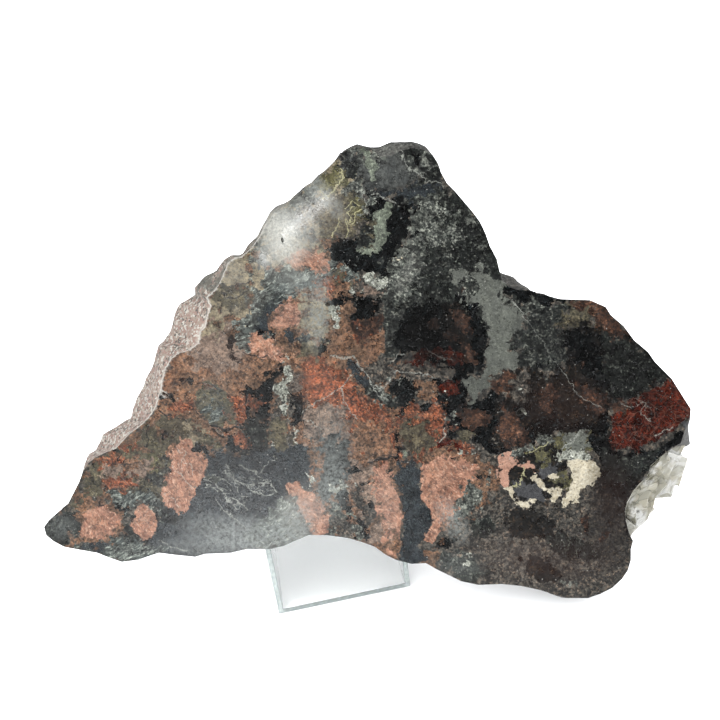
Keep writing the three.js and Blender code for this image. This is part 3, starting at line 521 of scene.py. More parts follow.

# Soft changes of tone: x, y, half width, half height, turn in degrees, lighter (a painted highlight
# above 0, a darkening towards the painted shadow below 0), warmer, and painted sheen of reflected light

TONES = [
    # The first tone paints the highlight on the rolled upper left edge
    (282, 236, 19, 29, 20, 0.92, 0.00, 0.00), (288, 228, 30, 34, 40, 0.20, 0.02, 0.30),
    (318, 190, 10, 34, 42, 0.22, 0.00, 0.35), (268, 255, 16, 16, 0, 0.18, 0.04, 0.25),
    (306, 226, 10, 26, 10, 0.22, 0.06, 0.20), (315, 318, 16, 30, 0, 0.08, 0.00, 0.28),
    (322, 300, 9, 50, -6, 0.04, 0.00, 0.22), (300, 284, 24, 14, 0, 0.06, -0.04, 0.26),
    (330, 452, 22, 50, -6, 0.00, -0.02, 0.20), (332, 492, 18, 28, -10, 0.02, -0.02, 0.24),
    (452, 520, 12, 24, 30, 0.05, 0.00, 0.40), (250, 534, 62, 16, -8, 0.10, -0.05, 0.42),
    (292, 520, 20, 22, -20, 0.16, 0.00, 0.35), (210, 546, 50, 10, 0, 0.06, -0.08, 0.25),
    (240, 300, 30, 24, 0, 0.05, 0.03, 0.06), (230, 272, 18, 14, 0, 0.12, 0.03, 0.12),
    (160, 374, 24, 20, 0, -0.05, 0.12, 0.00), (315, 380, 22, 24, 0, 0.04, 0.16, 0.00),
    (366, 440, 32, 26, 0, -0.18, 0.00, 0.00), (358, 342, 30, 22, 0, -0.30, 0.00, 0.00),
    (420, 440, 20, 24, 0, -0.12, 0.03, 0.00), (560, 560, 50, 26, 0, -0.06, 0.05, 0.00),
    (500, 555, 40, 26, 0, 0.00, 0.04, 0.04), (612, 512, 26, 60, 0, -0.66, 0.02, 0.00),
    (575, 556, 24, 16, 0, -0.25, 0.00, 0.00), (640, 365, 44, 38, 0, -0.38, 0.00, 0.00),
    (580, 346, 26, 24, 0, -0.40, 0.00, 0.00), (545, 338, 32, 38, 0, -0.34, -0.02, 0.00),
    (560, 405, 46, 30, 0, -0.28, 0.04, 0.00), (645, 425, 50, 32, 0, -0.16, 0.00, 0.00),
    (390, 170, 22, 18, 0, 0.02, 0.00, 0.06), (430, 332, 36, 30, 0, -0.58, 0.00, 0.00),
    (437, 360, 34, 10, 0, -0.38, 0.00, 0.00), (430, 290, 24, 18, 0, -0.12, 0.00, 0.00),
    (405, 272, 16, 24, 0, 0.10, 0.00, 0.00), (470, 235, 26, 40, 0, -0.10, 0.00, 0.00),
    (330, 215, 22, 26, 0, 0.04, 0.05, 0.10), (395, 232, 14, 40, 0, -0.25, 0.00, 0.00),
    (305, 510, 22, 26, 0, 0.12, 0.05, 0.06), (178, 475, 24, 34, 0, 0.04, 0.03, 0.00),
    (60, 526, 18, 14, 0, 0.04, -0.05, 0.16), (215, 400, 16, 22, 0, 0.00, -0.06, 0.10),
    (455, 565, 26, 14, 0, 0.03, -0.04, 0.08), (268, 400, 18, 40, 0, -0.25, 0.00, 0.00),
    (470, 385, 40, 40, 0, -0.20, 0.00, 0.00), (370, 305, 22, 22, 0, -0.25, 0.00, 0.00),
    (530, 470, 44, 26, 0, -0.04, 0.00, 0.00), (240, 468, 38, 20, 0, -0.34, 0.00, 0.00),
    (180, 428, 34, 16, 0, -0.14, 0.03, 0.00), (215, 360, 40, 30, 0, 0.04, 0.08, 0.00),
    (291, 277, 34, 10, 0, 0.12, 0.00, 0.00), (186, 478, 18, 26, 0, -0.07, 0.00, 0.00),
    (444, 495, 22, 26, 0, -0.08, 0.00, 0.00), (387, 505, 14, 34, 0, 0.08, 0.02, 0.00),
    (285, 317, 20, 18, 0, -0.02, -0.12, 0.00), (184, 440, 26, 20, 0, -0.12, 0.00, 0.00),
    (372, 408, 20, 18, 0, -0.11, 0.00, 0.00), (427, 332, 34, 24, 0, -0.20, 0.00, 0.00),
    (612, 495, 22, 34, 0, -0.14, 0.02, 0.00), (640, 365, 40, 30, 0, -0.14, 0.00, 0.00),
    (537, 340, 28, 26, 0, -0.12, 0.00, 0.00),
]

# The block of milky crystals at the right end

CRYSTAL_AREA = (
    "682,446 671,449 660,457 651,465 646,478 640,482 634,488 627,492 624,500 625,515 626,526 629,537"
    " 640,546 720,520 720,440 689,452"
)

# The rim between the polish and the broken left flank, which carries a pale line of crushed rock and
# painted highlight

LEFT_RIM = (
    "262,228 252,244 236,258 228,262 224,274 216,290 207,298 211,306 207,318 205,327 200,332 199,343"
    " 190,350 179,353 171,359 165,370 162,381 161,390 158,398 155,409 148,418 139,427 130,433 120,443"
    " 115,449 104,453 94,458"
)


# Noise on points, the same on every run

CELL_FACTORS = (374761393, 668265263, 2147483647)
SEED_FACTOR = 1274126177


def lattice_values(corners, seed):
    """A repeatable value from 0 to 1 for each whole-number corner."""
    mixed = np.full(len(corners), seed * SEED_FACTOR)
    for axis, factor in enumerate(CELL_FACTORS):
        mixed = mixed + corners[:, axis] * factor
    mixed = (mixed ^ (mixed >> 13)) * SEED_FACTOR
    mixed = mixed ^ (mixed >> 16)
    return (mixed & 65535) / 65535.0


def smooth_noise(points, size, seed):
    """Smooth noise from -1 to 1 with features of the given size."""
    scaled = points / size
    corner = np.floor(scaled).astype(np.int64)
    part = scaled - corner
    part = part * part * (3 - 2 * part)
    total = np.zeros(len(points))
    for dx in (0, 1):
        for dy in (0, 1):
            for dz in (0, 1):
                weight = (
                    (part[:, 0] if dx else 1 - part[:, 0])
                    * (part[:, 1] if dy else 1 - part[:, 1])
                    * (part[:, 2] if dz else 1 - part[:, 2])
                )
                total += weight * lattice_values(corner + np.array([dx, dy, dz]), seed)
    return total * 2 - 1


# Reading the sheet

def read_course(text):
    """The points of an outline or line."""
    return np.array([[float(value) for value in pair.split(",")] for pair in text.split()])


def to_face(points):
    """Points of the stone in the face's own frame, in mm: right, up, towards the viewer."""
    turn = np.array(STANCE)
    return (points / MM - np.array(FACE_ORIGIN) / MM) @ turn


def to_sheet(face_points):
    """Where points in the face's frame lie on the sheet."""
    spread = UNITS_PER_MM * EYE_DISTANCE / (EYE_DISTANCE - face_points[:, 2])
    across = SHEET_MIDDLE + face_points[:, 0] * spread
    down = SHEET_MIDDLE - face_points[:, 1] * spread
    return np.stack([across, down], 1)


def depth_inside(points, outline):
    """Distance to the outline in mm, positive inside."""
    nearest = np.full(len(points), 1e9)
    inside = np.zeros(len(points), bool)
    ends = np.roll(outline, -1, 0)
    for start, end in zip(outline, ends):
        along = end - start
        length = max(along @ along, 1e-9)
        share = np.clip(((points - start) @ along) / length, 0, 1)
        gap = points - start - share[:, None] * along
        nearest = np.minimum(nearest, np.hypot(gap[:, 0], gap[:, 1]))
        crosses = (start[1] > points[:, 1]) != (end[1] > points[:, 1])
        rise = end[1] - start[1]
        meet = start[0] + (points[:, 1] - start[1]) * along[0] / (rise if abs(rise) > 1e-9 else 1e-9)
        inside ^= crosses & (points[:, 0] < meet)
    return np.where(inside, nearest, -nearest) / UNITS_PER_MM


def distance_to_course(points, course):
    """Distance to an open line in mm."""
    nearest = np.full(len(points), 1e9)
    for start, end in zip(course[:-1], course[1:]):
        along = end - start
        share = np.clip(((points - start) @ along) / (along @ along), 0, 1)
        gap = points - start - share[:, None] * along
        nearest = np.minimum(nearest, np.hypot(gap[:, 0], gap[:, 1]))
    return nearest / UNITS_PER_MM


# Depths are kept up to this many mm from a border; borders wander on the sheet by size, amount
# and seed; a spot counts out to this many times its own size

REACH = 12.0
WANDER = ((22, 2.2, 3), (9, 1.3, 11))
SPOT_REACH = 8


def lay_patch(depths, mineral, depth, near):
    """The new patch belongs to its mineral and is cut out of all others."""
    index = NAMES.index(mineral)
    grown = np.maximum(depths[near, index], depth)
    depths[near] = np.minimum(depths[near], -depth[:, None])
    depths[near, index] = grown


def mineral_depths(sheet):
    """How deep each point lies inside each mineral, in mm."""
    wide = np.column_stack([sheet, np.zeros(len(sheet))])
    bent = sheet.copy()
    for size, amount, seed in WANDER:
        bent[:, 0] += amount * smooth_noise(wide, size, seed)
        bent[:, 1] += amount * smooth_noise(wide, size, seed + 1)
    depths = np.full((len(sheet), len(NAMES)), -REACH)
    depths[:, 0] = REACH
    margin = REACH * UNITS_PER_MM
    for mineral, text in PATCHES + [("steel", STEEL)]:
        outline = read_course(text)
        low = outline.min(0) - margin
        high = outline.max(0) + margin
        near = np.flatnonzero(((bent > low) & (bent < high)).all(1))
        lay_patch(depths, mineral, depth_inside(bent[near], outline), near)
    for mineral, x, y, half_width, half_height in SPOTS:
        away = np.hypot((sheet[:, 0] - x) / half_width, (sheet[:, 1] - y) / half_height)
        near = np.flatnonzero(away < SPOT_REACH)
        depth = (1 - away[near]) * min(half_width, half_height) / UNITS_PER_MM
        lay_patch(depths, mineral, depth, near)
    return np.clip(depths, -REACH, REACH)


# Thin lines, in mm: how far they count, over what width they fade, how far they run past their
# ends, the offset where no line is near, and the largest offset that is kept

LINE_REACH = 1.6
LINE_FADE = 0.6
LINE_OVERRUN = 0.8
LINE_FAR = 9.0
LINE_LIMIT = 3.0


def line_field(sheet, kind):
    """Signed offset from the nearest line, how much it counts, and its half width, in mm."""
    offset = np.full(len(sheet), LINE_FAR)
    width = np.zeros(len(sheet))
    for line_kind, half_width, text in LINES:
        if line_kind != kind:
            continue
        course = read_course(text)
        for start, end in zip(course[:-1], course[1:]):
            along = end - start
            length = math.hypot(*along)
            along = along / length
            from_start = sheet - start
            run = from_start @ along
            side = (from_start[:, 0] * along[1] - from_start[:, 1] * along[0]) / UNITS_PER_MM
            past = np.maximum(np.maximum(-run, run - length), 0) / UNITS_PER_MM
            reach = np.hypot(side, past)
            closer = (reach < np.abs(offset)) & (past < LINE_OVERRUN)
            offset[closer] = side[closer]
            width[closer] = half_width
    counts = np.clip((LINE_REACH - np.abs(offset)) / LINE_FADE, 0, 1)
    return np.column_stack([np.clip(offset, -LINE_LIMIT, LINE_LIMIT), counts, width])


# How far past its half width and half height a tone still shows, squared

TONE_SPREAD = 1.9


def tone_field(sheet):
    """Painted glare and shade, warmth and painted sheen at each point."""
    total = np.zeros((len(sheet), 3))
    for x, y, half_width, half_height, turn, light, warm, painted_sheen in TONES:
        angle = math.radians(turn)
        dx = sheet[:, 0] - x
        dy = sheet[:, 1] - y
        across = (dx * math.cos(angle) - dy * math.sin(angle)) / half_width
        down = (dx * math.sin(angle) + dy * math.cos(angle)) / half_height
        weight = np.clip(1 - (across**2 + down**2) / TONE_SPREAD, 0, 1) ** 1.5
        total += weight[:, None] * np.array([light, warm, painted_sheen])
    return total


# The stone's finishes, the longest edges of its mesh in mm, and how often edges may be halved

POLISHED, BROKEN, CRYSTAL = 0, 1, 2
FACE_STEP = 1.35
SIDE_STEP = 3.2
CRYSTAL_STEP = 2.2
DIVISIONS = 6
CREASE_DEGREES = 24

# Where the polish ends: depth behind the face in mm and how squarely a facet looks forwards;
# the upper left edge, bounded on the sheet, is rolled over and polished too

FLAT_DEPTH = 0.5
FLAT_FACING = 0.95
ROLL_RIGHT = 385
ROLL_BOTTOM = 290
ROLL_DEPTH = 5.2
ROLL_FACING = 0.8
CRYSTAL_DEPTH = 24


def sort_faces(mesh):
    """Gives each face of the stone its finish: polished, broken or crystal."""
    mesh.faces.ensure_lookup_table()
    centres = np.array([face.calc_center_median() for face in mesh.faces])
    normals = np.array([face.normal for face in mesh.faces])
    face_points = to_face(centres)
    facing = normals @ np.array(STANCE)[:, 2]
    sheet = to_sheet(face_points)
    in_crystals = depth_inside(sheet, read_course(CRYSTAL_AREA)) > 0
    for face, point, towards, place, crystal in zip(mesh.faces, face_points, facing, sheet, in_crystals):
        rolled = place[0] < ROLL_RIGHT and place[1] < ROLL_BOTTOM
        flat = point[2] > -FLAT_DEPTH and towards > FLAT_FACING
        on_roll = rolled and point[2] > -ROLL_DEPTH and towards > ROLL_FACING
        if flat or on_roll:
            face.material_index = POLISHED
        elif crystal and point[2] > -CRYSTAL_DEPTH:
            face.material_index = CRYSTAL
        else:
            face.material_index = BROKEN


def finishes_at(part):
    """The finishes of the faces that meet at a point or an edge."""
    return {face.material_index for face in part.link_faces}


def longest_allowed(edge):
    """Edge length in mm above which an edge is divided."""
    finishes = finishes_at(edge)
    if POLISHED in finishes:
        return FACE_STEP
    if CRYSTAL in finishes:
        return CRYSTAL_STEP
    return SIDE_STEP


def divide_edges(mesh):
    """Divides the mesh until no edge is too long."""
    for _ in range(DIVISIONS):
        long_edges = [edge for edge in mesh.edges if edge.calc_length() > longest_allowed(edge) * MM]
        if not long_edges:
            break
        bmesh.ops.subdivide_edges(mesh, edges=long_edges, cuts=1, use_grid_fill=True)
        wide_faces = [face for face in mesh.faces if len(face.verts) > 3]
        bmesh.ops.triangulate(mesh, faces=wide_faces)


# Swells of the broken sides: x, y and reach on the sheet, push to the right and up in mm;
# they start just behind the face and end before the back, in mm behind the face

SWELLS = [
    (200, 284, 22, -1.6, 1.9), (184, 312, 24, -2.0, 1.2), (170, 340, 18, -1.1, 0.6),
    (512, 282, 20, 0.6, 2.2), (676, 486, 34, 0.7, -0.5), (639, 515, 18, 0.6, -0.2),
    (276, 206, 18, -0.7, 0.7), (422, 148, 16, 0.8, 0.9), (688, 455, 18, 0.7, -0.2),
]
SWELL_START = 1.0
SWELL_RISE = 4
SWELL_END = 42
SWELL_FALL = 12


def swell_sides(mesh):
    """Pushes parts of the broken sides outwards along the face's plane."""
    places = to_face(np.array([vert.co for vert in mesh.verts]))
    sheet = to_sheet(places)
    loose = np.array([POLISHED not in finishes_at(vert) for vert in mesh.verts])
    rise = np.clip((-SWELL_START - places[:, 2]) / SWELL_RISE, 0, 1)
    fall = np.clip((places[:, 2] + SWELL_END) / SWELL_FALL, 0, 1)
    move = np.zeros((len(places), 3))
    for x, y, reach, right, up in SWELLS:
        away = np.hypot(sheet[:, 0] - x, sheet[:, 1] - y) / reach
        weight = np.clip(1 - away**2, 0, 1) ** 1.5 * loose * rise * fall
        move[:, 0] += weight * right
        move[:, 1] += weight * up
    world = (move * MM) @ np.array(STANCE).T
    for vert, step in zip(mesh.verts, world):
        vert.co += Vector(step)


# Chips of the broken sides: size, seed and height in mm; heights stay clear of the floor and of
# the box, whose top edge lies at the seat height

CHIPS = ((6.5, 21, 0.45), (3.1, 22, 0.3))
STEP_SIZE, STEP_SEED, STEP_HEIGHT, STEPS = 9.0, 23, 0.35, 3
FLOOR_CLEAR = 0.6
CLEAR_RISE = 3
SEAT_HEIGHT = 38.3
SEAT_CLEAR = 0.5
SEAT_HALF_WIDTH = 31
SEAT_FRONT = -31
SEAT_BACK = 16


def roughen_sides(mesh):
    """Chips the broken sides; the polished face, its rim, the toe and the seat stay as they are."""
    mesh.normal_update()
    mesh.verts.ensure_lookup_table()
    points = np.array([vert.co for vert in mesh.verts])
    normals = np.array([vert.normal for vert in mesh.verts])
    loose = np.array([finishes_at(vert) == {BROKEN} for vert in mesh.verts])
    x, y, z = (points / MM).T
    above_floor = np.clip((z - FLOOR_CLEAR) / CLEAR_RISE, 0, 1)
    over_box = (np.abs(x) < SEAT_HALF_WIDTH) & (y > SEAT_FRONT) & (y < SEAT_BACK)
    above_seat = np.where(over_box, np.clip((z - SEAT_HEIGHT - SEAT_CLEAR) / CLEAR_RISE, 0, 1), 1)
    height = STEP_HEIGHT * np.round(smooth_noise(points / MM, STEP_SIZE, STEP_SEED) * STEPS) / STEPS
    for size, seed, amount in CHIPS:
        height += amount * smooth_noise(points / MM, size, seed)
    height *= loose * above_floor * above_seat
    moved = points + normals * (height * MM)[:, None]
    for vert, place in zip(mesh.verts, moved):
        vert.co = place


# The rolled edge lies left of and above these mm on the face, and its rim is just behind it

EASE_RIGHT = 12
EASE_BOTTOM = 18
EASE_FRONT = 0.01
EASE_PASSES = 24


def ease_roll(mesh):
    """Rounds the facets of the rolled upper left edge, leaving its rim where it is."""
    places = to_face(np.array([vert.co for vert in mesh.verts]))
    on_roll = []
    for vert, (right, up, front) in zip(mesh.verts, places):
        in_reach = right < EASE_RIGHT and up > EASE_BOTTOM and front < EASE_FRONT
        if in_reach and finishes_at(vert) == {POLISHED}:
            on_roll.append(vert)
    for _ in range(EASE_PASSES):
        bmesh.ops.smooth_vert(mesh, verts=on_roll, factor=0.5,
                              use_axis_x=True, use_axis_y=True, use_axis_z=True)


def crease_edges(mesh, angle_degrees):
    """Keeps crystal edges and the rim of the polish crisp."""
    limit = math.radians(angle_degrees)
    for edge in mesh.edges:
        finishes = finishes_at(edge)
        sharp = edge.calc_face_angle(0.0) > limit
        edge.smooth = not (sharp and (CRYSTAL in finishes or len(finishes) > 1))


# Where this mask is 1, a pale rim line of crushed rock and painted highlight is laid
def rim_line_mask(mesh):
    """1 on the rim between polish and broken rock, 0 elsewhere."""
    wear = np.zeros(len(mesh.verts))
    for edge in mesh.edges:
        if {POLISHED, BROKEN} <= finishes_at(edge):
            for vert in edge.verts:
                wear[vert.index] = 1.0
    return wear


def store_vectors(data, name, values):
    """Keeps three numbers at each point of the mesh."""
    layer = data.attributes.new(name, "FLOAT_VECTOR", "POINT")
    layer.data.foreach_set("vector", np.ascontiguousarray(values, np.float32).ravel())


# Tones fade out behind the face, in mm; the pale rim line, crushed rock with a painted highlight,
# keeps to the left rim, in mm; the pale flank and its mossy top are bounded on the sheet, with
# borders that stray by reach, size in mm and seed

TONE_DEPTH = 10
TONE_FADE = 5
RIM_LINE_FULL = 1.6
RIM_LINE_FADE = 2.5
FLANK_RIGHT, FLANK_RIGHT_FADE = 262, 24
FLANK_BOTTOM, FLANK_BOTTOM_FADE = 500, 30
MOSS_BOTTOM, MOSS_FADE = 304, 16
STRAY = ((22, 14, 31), (9, 5, 32))


def store_pattern(data, wear):
    """Keeps minerals, thin lines, tones and wear at the points of the mesh."""
    points = np.array([vert.co for vert in data.vertices])
    face_points = to_face(points)
    sheet = to_sheet(face_points)
    depths = mineral_depths(sheet)
    for first in range(0, len(NAMES), 3):
        store_vectors(data, f"minerals_{first // 3}", depths[:, first:first + 3])
    for kind in ("pale", "yellow", "dark"):
        store_vectors(data, f"{kind}_lines", line_field(sheet, kind))
    near_face = np.clip((face_points[:, 2] + TONE_DEPTH) / TONE_FADE, 0, 1)
    store_vectors(data, "tone", tone_field(sheet) * near_face[:, None])
    # The pale left rim line: crushed rock with a painted highlight
    on_left = np.clip(RIM_LINE_FULL - distance_to_course(sheet, read_course(LEFT_RIM)) / RIM_LINE_FADE, 0, 1)
    straying = sum(reach * smooth_noise(points / MM, size, seed) for reach, size, seed in STRAY)
    flank = np.clip((FLANK_RIGHT + straying - sheet[:, 0]) / FLANK_RIGHT_FADE, 0, 1)
    flank *= np.clip((FLANK_BOTTOM + straying - sheet[:, 1]) / FLANK_BOTTOM_FADE, 0, 1)
    mossy = np.clip((MOSS_BOTTOM - sheet[:, 1]) / MOSS_FADE, 0, 1)
    store_vectors(data, "wear", np.column_stack([wear * on_left, flank, mossy]))


def build_stone():
    """The skarn as one piece, with its minerals stored at its points."""
    mesh = bmesh.new()
    mesh.from_mesh(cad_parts["skarn"].data)
    bmesh.ops.remove_doubles(mesh, verts=mesh.verts, dist=0.01 * MM)
    bmesh.ops.recalc_face_normals(mesh, faces=mesh.faces)
    sort_faces(mesh)
    crease_edges(mesh, CREASE_DEGREES)
    divide_edges(mesh)
    ease_roll(mesh)
    swell_sides(mesh)
    roughen_sides(mesh)
    for face in mesh.faces:
        face.smooth = True
    mesh.verts.index_update()
    wear = rim_line_mask(mesh)
    data = bpy.data.meshes.new("skarn_stone")
    mesh.to_mesh(data)
    mesh.free()
    store_pattern(data, wear)
    stone = bpy.data.objects.new("skarn_stone", data)
    bpy.context.scene.collection.objects.link(stone)
    return stone


# Node helpers

def feed(tree, socket, value):
    """Links a socket or sets it."""
    if isinstance(value, bpy.types.NodeSocket):
        tree.links.new(value, socket)
    else:
        socket.default_value = value


def calc(tree, operation, first, second=0.0, third=None, clamp=False):
    """One step of arithmetic."""
    node = tree.nodes.new("ShaderNodeMath")
    node.operation = operation
    node.use_clamp = clamp
    feed(tree, node.inputs[0], first)
    feed(tree, node.inputs[1], second)
    if third is not None:
        feed(tree, node.inputs[2], third)
    return node.outputs[0]


def product(tree, *values):
    """The values multiplied together."""
    result = values[0]
    for value in values[1:]:
        result = calc(tree, "MULTIPLY", result, value)
    return result


def highest(tree, *values):
    """The highest of the values."""
    result = values[0]
    for value in values[1:]:
        result = calc(tree, "MAXIMUM", result, value)
    return result


def left_over(tree, share):
    """What a share leaves of 1."""
    return calc(tree, "SUBTRACT", 1.0, share)


def scaled(tree, value, factor, offset):
    """The value times a factor, plus an offset."""
    return calc(tree, "MULTIPLY_ADD", value, factor, offset)


def ramp(tree, value, low, high):
    """Rises smoothly from 0 at low to 1 at high."""
    node = tree.nodes.new("ShaderNodeMapRange")
    node.interpolation_type = "SMOOTHSTEP"
    feed(tree, node.inputs["Value"], value)
    feed(tree, node.inputs["From Min"], low)
    feed(tree, node.inputs["From Max"], high)
    return node.outputs["Result"]


def mix(tree, share, first, second):
    """Mixes two colours."""
    node = tree.nodes.new("ShaderNodeMix")
    node.data_type = "RGBA"
    feed(tree, node.inputs[0], share)
    feed(tree, node.inputs[6], first)
    feed(tree, node.inputs[7], second)
    return node.outputs[2]


def noise(tree, vector, scale, detail=2.0, roughness=0.5, distortion=0.0):
    """A noise texture; its value and its colour."""
    node = tree.nodes.new("ShaderNodeTexNoise")
    feed(tree, node.inputs["Vector"], vector)
    node.inputs["Scale"].default_value = scale
    node.inputs["Detail"].default_value = detail
    node.inputs["Roughness"].default_value = roughness
    node.inputs["Distortion"].default_value = distortion
    return node.outputs[0], node.outputs[1]


def cells(tree, vector, scale, feature="F1", output="Distance"):
    """A cell texture."""
    node = tree.nodes.new("ShaderNodeTexVoronoi")
    node.feature = feature
    feed(tree, node.inputs["Vector"], vector)
    node.inputs["Scale"].default_value = scale
    return node.outputs[output]


def placed(tree, vector, turn=(0, 0, 0), scale=(1, 1, 1)):
    """The vector, turned and then stretched."""
    turned = tree.nodes.new("ShaderNodeMapping")
    feed(tree, turned.inputs["Vector"], vector)
    turned.inputs["Rotation"].default_value = turn
    stretched = tree.nodes.new("ShaderNodeVectorMath")
    stretched.operation = "MULTIPLY"
    tree.links.new(turned.outputs[0], stretched.inputs[0])
    stretched.inputs[1].default_value = scale
    return stretched.outputs[0]


def in_plane(tree, vector, degrees, scale):
    """The vector, turned in the face's plane and then stretched."""
    return placed(tree, vector, (0, 0, math.radians(degrees)), scale)


def channels(tree, colour):
    """The three values of a colour, apart."""
    split = tree.nodes.new("ShaderNodeSeparateColor")
    tree.links.new(colour, split.inputs[0])
    return list(split.outputs[:3])


def three_noises(tree, vector, scale, detail, roughness, distortion=0.0):
    """Three noises of the same size that don't follow each other."""
    return channels(tree, noise(tree, vector, scale, detail, roughness, distortion)[1])


def stored(tree, name):
    """Three numbers kept at the points of the mesh."""
    node = tree.nodes.new("ShaderNodeAttribute")
    node.attribute_name = name
    split = tree.nodes.new("ShaderNodeSeparateXYZ")
    tree.links.new(node.outputs["Vector"], split.inputs[0])
    return list(split.outputs)


def object_millimetres(tree):
    """Object coordinates in mm."""
    place = tree.nodes.new("ShaderNodeTexCoord").outputs["Object"]
    return placed(tree, place, scale=(1 / MM, 1 / MM, 1 / MM))


def face_millimetres(tree):
    """Object coordinates in mm, turned so that x and y run along the polished face."""
    place = tree.nodes.new("ShaderNodeTexCoord").outputs["Object"]
    turned = tree.nodes.new("ShaderNodeVectorRotate")
    turned.rotation_type = "EULER_XYZ"
    turned.invert = True
    feed(tree, turned.inputs["Vector"], place)
    turned.inputs["Rotation"].default_value = STANCE.to_euler("XYZ")
    return placed(tree, turned.outputs[0], scale=(1 / MM, 1 / MM, 1 / MM))


def new_group(name, inputs, outputs):
    """An empty node group with named sockets."""
    group = bpy.data.node_groups.new(name, "ShaderNodeTree")
    for title, kind in inputs:
        group.interface.new_socket(title, in_out="INPUT", socket_type="NodeSocket" + kind)
    for title, kind in outputs:
        group.interface.new_socket(title, in_out="OUTPUT", socket_type="NodeSocket" + kind)
    entry = group.nodes.new("NodeGroupInput")
    exit_node = group.nodes.new("NodeGroupOutput")
    return group, entry.outputs, exit_node.inputs


def use_group(tree, group, values):
    """Puts a group into a tree and feeds it."""
    node = tree.nodes.new("ShaderNodeGroup")
    node.node_tree = group
    for title, value in values.items():
        feed(tree, node.inputs[title], value)
    return node.outputs


# Colours as seen, 0 to 255, and how much brighter than a plain white light the studio is

LIGHT_ON_STONE = 3.5

TINTS = {
    # on the polish
    "pale_line": (196, 198, 186), "yellow_line": (206, 200, 150), "dark_line": (20, 20, 20),
    "healed_crack": (220, 168, 142), "black_seam": (15, 15, 15), "scratch": (170, 170, 162),
    # The glare tint is a painted highlight, the shadow tint painted shade and the sheen tint a painted
    # reflection; the pale rim tint is crushed rock with a painted highlight
    "dust": (196, 194, 184), "glare": (236, 234, 222), "shadow": (16, 15, 14), "warmth": (166, 96, 66),
    "coolness": (92, 104, 112), "painted_sheen": (163, 170, 166), "rim_bruise_and_glint": (240, 236, 226),
    # on the broken sides
    "rock_dust": (150, 144, 134), "flank_pink": (205, 184, 166), "flank_rose": (196, 158, 144),
    # The bright flank grains are partly painted glints, and the pale flank rim is crushed rock with a
    # painted highlight
    "flank_grain_and_glint": (248, 240, 226), "flank_grey": (118, 112, 104), "moss": (104, 108, 96),
    "flank_rim_bruise_and_glint": (244, 238, 226),
    # on the crystals
    "milk": (234, 233, 227), "cream_depth": (196, 190, 168), "olive_depth": (132, 128, 106),
    # The grey facet tint is painted shade that differs from block to block, and the cleft tint a painted
    # shadow in the clefts
    "painted_facet_shade": (178, 175, 157), "painted_cleft_shadow": (96, 94, 84), "flaw": (150, 150, 144),
}


def paint(colour):
    """A colour as seen, as the linear colour of the surface under the studio light."""
    linear = []
    for part in colour:
        value = part / 255
        value = value / 12.92 if value <= 0.04045 else ((value + 0.055) / 1.055) ** 2.4
        linear.append(value / LIGHT_ON_STONE)
    return (*linear, 1.0)


def lay_tint(tree, share, colour, tint):
    """Lays a tint over a colour."""
    return mix(tree, share, colour, paint(TINTS[tint]))


# Shared effects: softness of the grains' borders, and width in mm and strength of the dark zone
# at a mineral's border

GRAIN_SOFTNESS = 0.16
ZONE_WIDTH = 4.0
ZONE_STRENGTH = 0.75


def grains_shown(tree, grain, share):
    """Where the given share of a grain noise shows, with soft borders."""
    edge = left_over(tree, share)
    low = calc(tree, "SUBTRACT", edge, GRAIN_SOFTNESS)
    high = calc(tree, "ADD", edge, GRAIN_SOFTNESS)
    return ramp(tree, grain, low, high)


def grain_group():
    """Colours a mineral: two tones in clouds, with light and dark grains."""
    inputs = [("Main", "Color"), ("Second", "Color"), ("Light", "Color"), ("Dark", "Color"),
              ("Light Share", "Float"), ("Dark Share", "Float"), ("Cloudiness", "Float"),
              ("Cloud", "Float"), ("Shade", "Float"), ("Grain", "Float"), ("Fleck", "Float"),
              ("Depth", "Float"), ("Rim", "Float")]
    group, given, result = new_group("mineral_grain", inputs, [("Color", "Color")])
    body = mix(group, given["Cloud"], given["Main"], given["Second"])
    rim = product(group, left_over(group, ramp(group, given["Depth"], 0.0, ZONE_WIDTH)), given["Rim"])
    body = mix(group, rim, body, given["Second"])
    body = mix(group, product(group, rim, 0.5), body, given["Dark"])
    light = grains_shown(group, given["Grain"], given["Light Share"])
    dark = grains_shown(group, given["Fleck"], given["Dark Share"])
    body = mix(group, product(group, light, 0.75), body, given["Light"])
    body = mix(group, product(group, dark, 0.85), body, given["Dark"])
    strength = scaled(group, given["Shade"], given["Cloudiness"], 1.0)
    shaded = group.nodes.new("ShaderNodeVectorMath")
    shaded.operation = "SCALE"
    feed(group, shaded.inputs[0], body)
    feed(group, shaded.inputs["Scale"], highest(group, strength, 0.25))
    group.links.new(shaded.outputs[0], result["Color"])
    return group


def border_group():
    """Lays a mineral over what is there, where it lies deeper than the others."""
    inputs = [("Best", "Float"), ("Depth", "Float"), ("Noise", "Float"), ("Ragged", "Float"),
              ("Soft", "Float"), ("Under", "Color"), ("Over", "Color"), ("Under Gloss", "Float"),
              ("Over Gloss", "Float")]
    outputs = [("Best", "Float"), ("Color", "Color"), ("Gloss", "Float")]
    group, given, result = new_group("mineral_border", inputs, outputs)
    value = scaled(group, given["Noise"], given["Ragged"], given["Depth"])
    lead = calc(group, "SUBTRACT", value, given["Best"])
    shows = ramp(group, lead, product(group, given["Soft"], -1.0), given["Soft"])
    group.links.new(mix(group, shows, given["Under"], given["Over"]), result["Color"])
    change = calc(group, "SUBTRACT", given["Over Gloss"], given["Under Gloss"])
    group.links.new(scaled(group, shows, change, given["Under Gloss"]), result["Gloss"])
    group.links.new(highest(group, value, given["Best"]), result["Best"])
    return group


